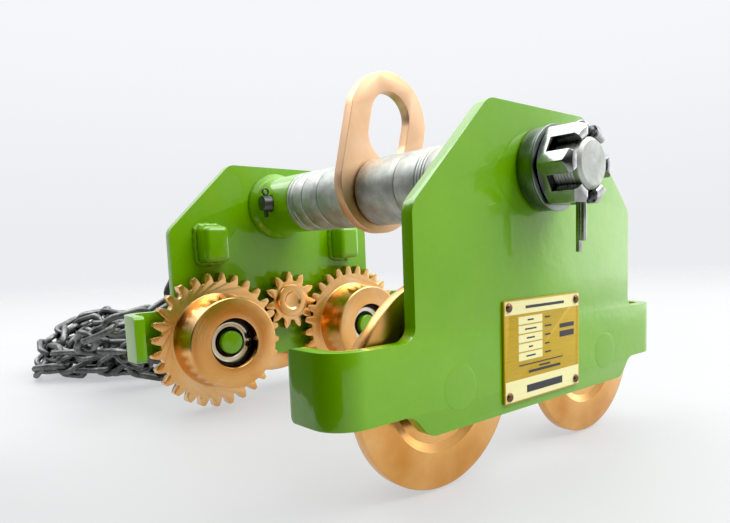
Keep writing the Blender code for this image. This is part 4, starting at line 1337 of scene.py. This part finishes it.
def pinion_shaft(gold):
    near = PLATE_SPACING - FLANGE_GAP - GEAR_T - 0.6 * MM
    far = near + 8 * MM
    tip_r = MODULE * (PINION_TEETH / 2 + 1 + PINION_SHIFT) - 0.2 * MM
    teeth = gear_outline(PINION_TEETH, PINION_SHIFT, tip_r, pinion_phase())
    obj = prism("pinion_cut", [teeth], near, 8 * MM, (0, PINION_Z))
    bevel(obj, 0.35 * MM, 2, 60)
    applied(obj)
    tail = CHAIN_WHEEL_Y + CHAIN_WHEEL_W / 2 + 3 * MM
    profile = [
        (0, tail, 0),
        (SHAFT_R, tail, 1 * MM),
        (SHAFT_R, far + 0.5 * MM, 0),
        (11.5 * MM, far + 0.5 * MM, 0),
        (11.5 * MM, near - 2.4 * MM, 0.9 * MM),
        (6.5 * MM, near - 2.4 * MM, 0.3 * MM),
        (5.2 * MM, near - 1.4 * MM, 0.3 * MM),
        (0, near - 1.2 * MM, 0),
    ]
    core = lathe("core", profile, (0, PINION_Z), 64, closed=False)
    cut(obj, core, "UNION")
    smooth(obj, 30)
    finish_piece(obj, "chain_drive", "gold_plating", gold, "pinion_shaft")


def shaft_bush(bronze):
    inner = PLATE_SPACING - 2.6 * MM
    outer = PLATE_SPACING + PLATE_T
    profile = [
        (BUSH_R + 4 * MM, outer + 2.4 * MM, 0.5 * MM),
        (BUSH_R + 4 * MM, outer + GAP, 0.3 * MM),
        (BUSH_R, outer + GAP, 0),
        (BUSH_R, inner, 0.5 * MM),
        (SHAFT_R + GAP, inner, 0.4 * MM),
        (SHAFT_R + GAP, outer + 2.4 * MM, 0.4 * MM),
    ]
    obj = lathe("shaft_bush_sintered", profile, (0, PINION_Z), 64)
    finish_piece(obj, ROOT, "bush_bronze", bronze, "shaft_bush")


def hand_chain_wheel(gold):
    low = CHAIN_WHEEL_Y - CHAIN_WHEEL_W / 2
    high = CHAIN_WHEEL_Y + CHAIN_WHEEL_W / 2
    groove_r = CHAIN_LINE_R - CHAIN_R - 1 * MM
    profile = [
        (CHAIN_WHEEL_R, high, 0.8 * MM),
        (CHAIN_WHEEL_R, high - 2 * MM, 0.6 * MM),
        (groove_r + 6 * MM, high - 3 * MM, 2 * MM),
        (groove_r, CHAIN_WHEEL_Y + 5 * MM, 1.5 * MM),
        (groove_r, CHAIN_WHEEL_Y - 5 * MM, 1.5 * MM),
        (groove_r + 6 * MM, low + 3 * MM, 2 * MM),
        (CHAIN_WHEEL_R, low + 2 * MM, 0.6 * MM),
        (CHAIN_WHEEL_R, low, 0.8 * MM),
        (groove_r - 3 * MM, low, 1 * MM),
        (groove_r - 5 * MM, low + 7 * MM, 2 * MM),
        (16 * MM, low + 7 * MM, 2 * MM),
        (16 * MM, low - 2.5 * MM, 0.8 * MM),
        (SHAFT_R + GAP, low - 2.5 * MM, 0.4 * MM),
        (SHAFT_R + GAP, high - 5 * MM, 0.4 * MM),
        (16 * MM, high - 5 * MM, 0.8 * MM),
        (16 * MM, high - 9 * MM, 2 * MM),
        (groove_r - 5 * MM, high - 9 * MM, 2 * MM),
        (groove_r - 3 * MM, high, 1 * MM),
    ]
    obj = lathe("hand_chain_wheel_cast", profile, (0, PINION_Z), 128)
    for i in range(6):
        a = math.pi / 3 * i
        place = (26.5 * MM * math.cos(a), across(CHAIN_WHEEL_Y), PINION_Z + 26.5 * MM * math.sin(a))
        cut(obj, cylinder("window", 5.5 * MM, 40 * MM, place, "Y", 32))
    smooth(obj, 32)
    finish_piece(obj, "chain_drive", "gold_plating", gold, "hand_chain_wheel")


def shaft_nut(zinc):
    corner_r = 12 * MM / math.cos(math.pi / 6)
    hexagon = rounded([(*p, 0.5 * MM) for p in circle((0, 0), corner_r, 6)], math.radians(20))
    near = CHAIN_WHEEL_Y + CHAIN_WHEEL_W / 2 - 5 * MM + GAP
    bore = circle((0, 0), SHAFT_R + GAP)
    obj = prism("shaft_nut_forged", [hexagon, bore], near, 6.5 * MM, (0, PINION_Z))
    bevel(obj, 0.5 * MM, 3)
    applied(obj)
    smooth(obj, 35)
    finish_piece(obj, "chain_drive", "zinc_steel", zinc, "shaft_nut")


def chain_guide(paint):
    """The bent strip round the chain wheel, with rolled corners and a window for the shaft."""
    low, high, wall, thick = 48 * MM, 98 * MM, 65 * MM, 3 * MM
    foot = PLATE_SPACING + PLATE_T + GAP
    half = [
        (wall + 14 * MM, across(foot), 0),
        (wall + 14 * MM, across(foot + thick), 0),
        (wall, across(foot + thick), 1.5 * MM),
        (wall, across(GUIDE_FAR), 6 * MM),
    ]
    inner = [
        (wall - thick, across(GUIDE_FAR - thick), 3 * MM),
        (wall - thick, across(foot), 4.5 * MM),
    ]
    outline = half + [(-x, y, r) for x, y, r in reversed(half)]
    outline += [(-x, y, r) for x, y, r in reversed(inner)] + inner
    strip = flat_mesh("guide", [rounded(outline, math.radians(10))], high - low)
    obj = new_object("chain_guide_bent", strip)
    placed_mesh(obj, Matrix.Translation((0, 0, (low + high) / 2)))
    window = cylinder("window", 17 * MM, 20 * MM, (0, across(GUIDE_FAR), PINION_Z), "Y", 64)
    cut(obj, window)
    for side in (-1, 1):
        place = (side * 72.5 * MM, across(foot), 73 * MM)
        cut(obj, cylinder("hole", 3.3 * MM, 20 * MM, place, "Y", 32))
    bevel(obj, 0.6 * MM, 3)
    applied(obj)
    smooth(obj, 35)
    finish_piece(obj, ROOT, "green_paint", paint, "chain_guide")


def guide_bolts(zinc):
    """Socket head cap screws."""
    seat = PLATE_SPACING + PLATE_T + 2 * GAP + 3 * MM
    for end, side in (("front", -1), ("rear", 1)):
        centre = (side * 72.5 * MM, 73 * MM)
        profile = [
            (0, seat + 5 * MM, 0),
            (5 * MM, seat + 5 * MM, 0.5 * MM),
            (5 * MM, seat, 0.2 * MM),
            (3 * MM, seat, 0),
            (3 * MM, PLATE_SPACING + 0.5 * MM, 0.4 * MM),
            (0, PLATE_SPACING + 0.5 * MM, 0),
        ]
        obj = lathe(f"guide_screw_{end}", profile, centre, 48, closed=False)
        socket = prism("socket", [circle((0, 0), 2.9 * MM, 6)], seat + 2.4 * MM, 5 * MM, centre)
        cut(obj, socket)
        smooth(obj, 32)
        finish_piece(obj, ROOT, "zinc_steel", zinc, f"guide_bolt_{end}")


# ---------------------------------------------------------------- rating plate


def rating_plate(gold_foil, cream_foil, ink):
    """The plate, with cream end bands, a table of blank cells and generic marks, no lettering."""
    outline = rounded(
        mirrored([(LABEL_HALF_W, LABEL_HIGH, 1 * MM), (LABEL_HALF_W, LABEL_LOW, 1 * MM)]),
        math.radians(15),
    )
    holes = [circle(place, 1.4 * MM, 20) for place in rivet_places()]
    obj = prism("rating_plate_gold", [outline, *holes], -GAP - LABEL_T, LABEL_T)
    bevel(obj, 0.18 * MM, 2)
    applied(obj)
    smooth(obj, 35)
    finish_piece(obj, ROOT, "rating_plate_gold", gold_foil, "rating_plate")
    face = -GAP - LABEL_T
    print_patches("rating_plate_cream", cream_patches(), face, 0.07 * MM, cream_foil)
    print_patches("rating_plate_marks", ink_marks(), face - 0.07 * MM, 0.05 * MM, ink)


def rectangle(x0, x1, z0, z1):
    return [(x0 * MM, z0 * MM), (x1 * MM, z0 * MM), (x1 * MM, z1 * MM), (x0 * MM, z1 * MM)]


def cream_patches():
    """The two end bands and the five cells of the table, in the plate's own layout."""
    patches = [rectangle(-28.6, 28.6, 32.6, 42.0), rectangle(-28.6, 28.6, 71.4, 77.4)]
    for i in range(5):
        low = 50.2 + i * 4.1
        patches.append(rectangle(-19.2, -1.4, low, low + 3.5))
    return patches


def ink_marks():
    """Plain bars and dots in place of the printing."""
    marks = [rectangle(-13.5, 14.5, 35.2, 38.6)]
    marks += [rectangle(-12, 13, 44.0, 45.2), rectangle(-4, 4.5, 46.0, 46.8)]
    marks += [rectangle(-19, 15, 47.9, 48.4)]
    widths = (7.0, 3.0, 6.0, 8.5, 4.5)
    for i, width in enumerate(widths):
        low = 50.2 + i * 4.1 + 1.4
        marks.append(rectangle(-10.3 - width / 2, -10.3 + width / 2, low, low + 0.7))
        marks.append(rectangle(0.6, 3.2 + width * 0.3, low, low + 0.7))
    marks += [rectangle(12.5, 24.5, 57.6, 60.4), rectangle(12.5, 24.5, 62.0, 64.0)]
    marks += [rectangle(-14, 16, 73.6, 74.9)]
    return marks


def print_patches(name, patches, face, thickness, material):
    """Thin raised patches of print, joined in one mesh."""
    body = bmesh.new()
    for (x0, z0), _, (x1, z1), _ in patches:
        near, far = across(face - thickness), across(face)
        grid = bmesh.ops.create_cube(body, size=1)["verts"]
        bmesh.ops.scale(body, vec=(x1 - x0, far - near, z1 - z0), verts=grid)
        middle = ((x0 + x1) / 2, (near + far) / 2, (z0 + z1) / 2)
        bmesh.ops.translate(body, vec=middle, verts=grid)
    obj = body_object(name, body)
    finish_piece(obj, ROOT, "rating_plate_gold", material)


def rivets(zinc):
    seat = -GAP - LABEL_T - 0.15 * MM
    for i, centre in enumerate(rivet_places()):
        profile = [
            (0, 4 * MM, 0),
            (1.1 * MM, 4 * MM, 0.2 * MM),
            (1.1 * MM, seat, 0),
            (2.1 * MM, seat, 0.15 * MM),
            (1.9 * MM, seat - 0.6 * MM, 0.3 * MM),
            (1.2 * MM, seat - 1.0 * MM, 0.4 * MM),
            (0, seat - 1.1 * MM, 0),
        ]
        obj = lathe(f"drive_rivet_{i + 1}", profile, centre, 32, closed=False)
        finish_piece(obj, ROOT, "zinc_steel", zinc, f"rating_plate_rivet_{i + 1}")


# ---------------------------------------------------------------- stage


FLOOR_HALF = 6
FLOOR_DROP = 0.4 * MM  # under the wheels, so that the floor doesn't touch them
CARD_SIZE = (300 * MM, 360 * MM)  # height and length
CARD_CENTRE = (-215 * MM, -60 * MM, 160 * MM)


def stage_sheet(name, half, finish):
    """A flat square of the stage, that reaches half of its side from its middle."""
    body = bmesh.new()
    bmesh.ops.create_grid(body, x_segments=1, y_segments=1, size=half)
    sheet = body_object(name, body)
    sheet.data.materials.append(finish)
    return sheet


def stage():
    """The floor, a black card that shades the left side but isn't seen itself, and the walls."""
    floor = stage_sheet("studio_floor", FLOOR_HALF, floor_finish())
    floor.location = (0, 0, -FLOOR_DROP)
    card = stage_sheet("dark_card", 0.5, card_finish())
    card.scale = (*CARD_SIZE, 1)
    card.location = CARD_CENTRE
    card.rotation_euler = (0, math.radians(90), 0)
    card.visible_camera = False
    studio_walls()


def studio_walls():
    """White walls behind the object, bright to its right and above, and dim to its left."""
    world = bpy.data.worlds.new("studio")
    world.use_nodes = True
    bpy.context.scene.world = world
    tree = world.node_tree
    new, link = tree.nodes.new, tree.links.new
    way = new("ShaderNodeTexCoord").outputs["Generated"]

    def toward(direction, low, high, inside, outside):
        """A number from outside to inside, as a way turns towards a direction."""
        dot = new("ShaderNodeVectorMath")
        dot.operation = "DOT_PRODUCT"
        link(way, dot.inputs[0])
        dot.inputs[1].default_value = Vector(direction).normalized()
        share = new("ShaderNodeMapRange")
        share.interpolation_type = "SMOOTHSTEP"
        link(dot.outputs["Value"], share.inputs["Value"])
        for key, value in (
            ("From Min", low), ("From Max", high), ("To Min", outside), ("To Max", inside)
        ):
            share.inputs[key].default_value = value
        return share.outputs[0]

    def combined(operation, a, b):
        node = new("ShaderNodeMath")
        node.operation = operation
        link(a, node.inputs[0])
        link(b, node.inputs[1])
        return node.outputs[0]

    above = toward((0, 0, 1), 0.25, 0.9, 1.75, 0.0)
    right = toward((1, -0.15, 0.05), 0.88, 0.95, 2.6, 0.85)
    behind = toward((-1, -0.45, 0.05), -0.15, 0.5, 0.02, 1.0)
    light = combined("ADD", above, combined("MULTIPLY", right, behind))
    lit = new("ShaderNodeBackground")
    lit.inputs["Color"].default_value = (0.97, 0.985, 1.0, 1)
    link(light, lit.inputs["Strength"])
    wall = new("ShaderNodeBackground")
    wall.inputs["Color"].default_value = (0.96, 0.975, 1.0, 1)
    link(toward((0, 0, 1), 0.0, 0.35, 0.955, 0.87), wall.inputs["Strength"])
    seen = new("ShaderNodeMixShader")
    link(new("ShaderNodeLightPath").outputs["Is Camera Ray"], seen.inputs["Fac"])
    link(lit.outputs[0], seen.inputs[1])
    link(wall.outputs[0], seen.inputs[2])
    link(seen.outputs[0], tree.nodes["World Output"].inputs["Surface"])


def soft_light(name, place, aim, size, power, colour=(1, 1, 1)):
    data = bpy.data.lights.new(name, "AREA")
    data.shape = "RECTANGLE"
    data.size, data.size_y = size
    data.energy = power
    data.color = colour
    obj = new_object(name, data)
    obj.location = place
    obj.rotation_euler = (Vector(aim) - Vector(place)).to_track_quat("-Z", "Y").to_euler()
    return obj


def lights():
    soft_light("key", (0.7, -1.0, 1.5), (0, 0, 0.08), (1.3, 1.1), 27, (1.0, 0.99, 0.96))
    soft_light("back", (-0.5, 0.8, 1.4), (-0.1, 0.2, 0), (1.2, 1.2), 12, (0.98, 0.99, 1.0))


def camera():
    """The photograph's viewpoint: near the floor, in front of the plain plate's left end."""
    yaw, pitch, roll = math.radians(47.411), math.radians(-6.489), math.radians(-1.742)
    level = math.cos(pitch)
    ahead = Vector((math.cos(yaw) * level, math.sin(yaw) * level, math.sin(pitch)))
    right = ahead.cross(Vector((0, 0, 1))).normalized()
    up = right.cross(ahead)
    side = right * math.cos(roll) + up * math.sin(roll)
    top = up * math.cos(roll) - right * math.sin(roll)
    data = bpy.data.cameras.new("photo_view")
    data.sensor_width = 36
    data.lens = 30.14
    data.shift_x = -48.95 / 730
    data.shift_y = 56.99 / 730
    data.clip_start = 0.01
    obj = new_object("photo_view", data)
    rotation = Matrix((side, top, -ahead)).transposed().to_4x4()
    obj.matrix_world = Matrix.Translation((-0.2346, -0.2910, 0.1015)) @ rotation
    bpy.context.scene.camera = obj
    look = bpy.context.scene.view_settings
    look.view_transform = "Standard"
    look.use_curve_mapping = True
    look.curve_mapping.black_level = (0.006, 0.006, 0.006)


# ---------------------------------------------------------------- chain

STRAND_FRONT = (
    (-51.5, 255.5, 69.0),
    (-51.5, 255.5, 88.0),
    (-50.5, 256.5, 104.0),
    (-46.5, 264.0, 115.0),
    (-43.0, 275.0, 118.0),
    (-42.0, 285.0, 111.0),
    (-44.0, 289.0, 96.0),
    (-51.0, 290.5, 78.0),
    (-64.0, 291.0, 64.0),
    (-80.0, 291.5, 58.0),
    (-94.0, 293.0, 55.5),
    (-105.0, 303.0, 50.0),
    (-110.0, 320.0, 45.0),
    (-108.0, 340.0, 38.0),
    (-100.0, 358.0, 30.0),
)
STRAND_REAR = (
    (51.5, 255.5, 69.0),
    (51.5, 255.5, 88.0),
    (50.5, 256.5, 104.0),
    (46.0, 264.0, 115.0),
    (40.0, 275.0, 117.0),
    (33.0, 285.0, 108.0),
    (24.0, 290.0, 90.0),
    (8.0, 292.0, 70.0),
    (-12.0, 293.0, 52.0),
    (-36.0, 295.0, 40.0),
    (-58.0, 299.0, 34.0),
    (-76.0, 309.0, 31.0),
    (-84.0, 328.0, 29.0),
    (-80.0, 352.0, 27.0),
)
HEAP_CENTRE = (-41, 430)
HEAP_REACH = (62, 64)
HEAP_FLOOR = 9 * MM
LOOP_LENGTH = 5.0  # the usual loop, for a drop of 2.5 m
SMOOTHED_OFF = 0.1  # what settling and smoothing the heap take off its way, about
LINK_PITCH = 25 * MM
LINK_WIRE_R = 2.5 * MM
LINK_LENGTH = 35 * MM
LINK_WIDTH = 18 * MM


def smooth_way(points, spacing):
    """Points about that far apart on a Catmull-Rom curve through a row of points."""
    rows = [Vector(p) for p in points]
    rows = [rows[0] * 2 - rows[1], *rows, rows[-1] * 2 - rows[-2]]
    found = []
    for before, start, end, after in zip(rows, rows[1:], rows[2:], rows[3:]):
        steps = max(1, round((end - start).length / spacing))
        for i in range(steps):
            t = i / steps
            found.append(
                0.5
                * (
                    2 * start
                    + (end - before) * t
                    + (2 * before - 5 * start + 4 * end - after) * t**2
                    + (3 * start - before - 3 * end + after) * t**3
                )
            )
    return found + [rows[-2]]


def hanging_way():
    """The chain from the heap over the wheel and back to the heap, in world metres."""
    y, z = CHAIN_WHEEL_Y / MM, PINION_Z / MM
    wrap = arc((0, z), CHAIN_LINE_R / MM, math.pi * 1.06, math.pi * 1.94, 24)
    around = [Vector((x, y, height)) for x, height in wrap]
    front = smooth_way(STRAND_FRONT, 6)
    rear = smooth_way(STRAND_REAR, 6)
    row = front[::-1] + around + rear
    return [Vector((p.x * MM, across(p.y * MM), p.z * MM)) for p in row], len(front)


def heap_way(start, end, length):
    """A settled heap of chain between two points: loose turns let fall on the floor.

    The turns start stacked in the air, and then each step lowers them, keeps the chain's length
    and its least bend, and pushes crossing turns apart until they lie on each other.
    """
    spacing = 10 * MM
    count = round(length / spacing)
    draw = random.Random(5)
    middle = Vector((HEAP_CENTRE[0] * MM, across(HEAP_CENTRE[1] * MM)))
    reach = Vector(HEAP_REACH) * MM
    points = np.zeros((count + 1, 3))
    angle, way = -2.0, 1.0
    for i in range(count + 1):
        wave = 0.7 + 0.22 * math.sin(i * 0.071 + 1) * math.sin(i * 0.023)
        wave += 0.08 * math.sin(i * 0.19)
        way += ((1 if (i // 60) % 2 else -1) - way) * 0.12
        angle += spacing / (wave * (reach.x + reach.y) / 2) * math.copysign(max(abs(way), 0.2), way)
        drift = 0.16 * math.sin(i * 0.013 + 2)
        right, back = wave * math.cos(angle) + drift, wave * math.sin(angle) + drift / 2
        points[i, 0] = middle.x + reach.x * right + draw.uniform(-1, 1) * MM
        points[i, 1] = middle.y + reach.y * back + draw.uniform(-1, 1) * MM
        points[i, 2] = 11 * MM + 0.24 * MM * min(i, count - i)
    points[0], points[-1] = start, end
    points = settled(points, spacing)
    for _ in range(2):
        points[1:-1] = points[1:-1] * 0.5 + (points[:-2] + points[2:]) * 0.25
    return [Vector(p) for p in points]


def settled(points, spacing):
    """Lets a row of points fall and lie still, as a limp chain that can't pass through itself."""
    radius = 6.3 * MM
    index = np.arange(len(points))
    apart = np.abs(index[:, None] - index[None, :]) > 3
    free = np.ones((len(points), 1))
    free[[0, -1]] = 0

    def lines(a, b):
        line = points[b] - points[a]
        return line, np.maximum(np.linalg.norm(line, axis=1, keepdims=True), 1e-9)

    old = points.copy()
    for _ in range(420):
        speed = (points - old) * 0.88
        old = points.copy()
        points = points + speed * free
        points[:, 2] -= 0.06 * MM * free[:, 0]
        for _ in range(4):
            for span, least in ((5, 4.35), (3, 2.78)):
                a, b = index[:-span], index[span:]
                line, size = lines(a, b)
                fix = line * np.maximum(least * spacing / size - 1, 0) * 0.12
                points[a] -= fix * free[a]
                points[b] += fix * free[b]
            for first in (0, 1):
                a = index[first:-1:2]
                b = a + 1
                line, size = lines(a, b)
                fix = line * (1 - spacing / size) / np.maximum(free[a] + free[b], 1)
                points[a] += fix * free[a]
                points[b] -= fix * free[b]
        near = points.astype(np.float32)
        gaps = near[:, None, :] - near[None, :, :]
        a, b = np.nonzero((np.einsum("ijk,ijk->ij", gaps, gaps) < (2 * radius) ** 2) & apart)
        line, size = lines(b, a)
        np.add.at(points, a, line / size * (2 * radius - size) * 0.3 * free[a])
        low = (points[:, 2] < HEAP_FLOOR) & (free[:, 0] > 0)
        points[low, 2] = HEAP_FLOOR
        old[low, :2] = points[low, :2] * 0.7 + old[low, :2] * 0.3
    return points


def link_rows():
    """The centreline of one link, in its own XY plane, long along X."""
    end_r = LINK_WIDTH / 2 - LINK_WIRE_R
    straight = LINK_LENGTH / 2 - LINK_WIDTH / 2
    row = arc((straight, 0), end_r, -math.pi / 2, math.pi / 2, 8)
    row += arc((-straight, 0), end_r, math.pi / 2, 1.5 * math.pi, 8)
    return [Vector((x, y, 0)) for x, y in row]


def add_link(body, matrix, centreline, sides=8):
    rows = []
    count = len(centreline)
    for i, point in enumerate(centreline):
        ahead = (centreline[(i + 1) % count] - centreline[i - 1]).normalized()
        out = ahead.cross(Vector((0, 0, 1)))
        row = []
        for k in range(sides):
            a = 2 * math.pi * k / sides
            place = point + LINK_WIRE_R * (out * math.cos(a) + Vector((0, 0, math.sin(a))))
            row.append(body.verts.new(matrix @ place))
        rows.append(row)
    for i, low in enumerate(rows):
        high = rows[(i + 1) % count]
        for k in range(sides):
            m = (k + 1) % sides
            body.faces.new((low[k], high[k], high[m], low[m]))


def hand_chain(steel):
    hanging, front_count = hanging_way()
    own = sum((b - a).length for a, b in zip(hanging, hanging[1:]))
    heap = heap_way(hanging[-1], hanging[0], LOOP_LENGTH + SMOOTHED_OFF - own)
    # The way starts and ends on the wheel, under its shaft.
    turn = front_count + 12
    way = hanging[turn:] + heap[1:-1] + hanging[: turn + 1]
    way = evenly(way, 3 * MM)
    total = sum((b - a).length for a, b in zip(way, way[1:]))
    links = 2 * round(total / LINK_PITCH / 2)
    pitch = total / links
    nodes = evenly(way, pitch)
    body = bmesh.new()
    centreline = link_rows()
    side = Vector((0, 1, 0))
    wheel = Vector((0, across(CHAIN_WHEEL_Y), PINION_Z))
    for i in range(links):
        a, b = nodes[i], nodes[i + 1]
        ahead = (b - a).normalized()
        side = (side - ahead * side.dot(ahead)).normalized()
        # On the wheel the links lie flat and stand by turns; away from it they hang at a slant.
        slant = min(max(((a + b) / 2 - wheel).length / CHAIN_LINE_R - 1.05, 0) * 1.5, 1)
        turn = math.radians(45 * slant + 9 * slant * math.sin(i * 1.7) + 90 * (i % 2))
        across_link = Matrix.Rotation(turn, 3, ahead) @ side
        normal = ahead.cross(across_link)
        turned = Matrix((ahead, across_link, normal)).transposed().to_4x4()
        add_link(body, Matrix.Translation((a + b) / 2) @ turned, centreline)
    bmesh.ops.recalc_face_normals(body, faces=body.faces)
    obj = smooth(body_object("hand_chain_links", body), 60)
    finish_piece(obj, ROOT, "chain_steel", steel, "hand_chain_run", "hand_chain_pile")


def build():
    camera()
    stage()
    lights()
    green = green_paint()
    gold = gold_plating()
    zinc = zinc_steel()
    bright = bright_zinc()
    dark = dark_steel()
    hand_chain(chain_steel())
    side_plates(green)
    anti_tilt_lugs(green)
    load_bar_socket(green)
    load_bar(zinc)
    castle_nut(bright)
    pins(bright, dark)
    spacers(zinc, bearing_steel("grey_zinc", (0.13, 0.15, 0.14), (0.26, 0.29, 0.27)))
    suspension_lug(lug_plating())
    plain_wheels(gold)
    gear_wheels(gold)
    # Darkened steel for the outer races: painted shade, not the steel's own colour.
    race_painted_shade = bearing_steel("race_steel_painted_shade", (0.10, 0.10, 0.095), (0.17, 0.17, 0.165))
    shield = bearing_steel("shield_steel", (0.66, 0.60, 0.47), (0.80, 0.74, 0.62))
    wheel_fittings(green, race_painted_shade, black_oxide_and_painted_shade(), shield)
    pinion_shaft(gold)
    shaft_bush(bush_bronze())
    hand_chain_wheel(gold)
    shaft_nut(bright)
    chain_guide(green)
    guide_bolts(bright)
    gold_foil = brushed_foil("gold_foil", (0.42, 0.27, 0.004), (0.55, 0.37, 0.012), 0.15, 0.45)
    cream_foil = brushed_foil("cream_foil", (0.74, 0.69, 0.34), (0.82, 0.78, 0.42), 0.1, 0.45)
    rating_plate(gold_foil, cream_foil, printed_ink())
    rivets(bearing_steel("copper_rivet", (0.10, 0.05, 0.03), (0.22, 0.12, 0.07)))


build()
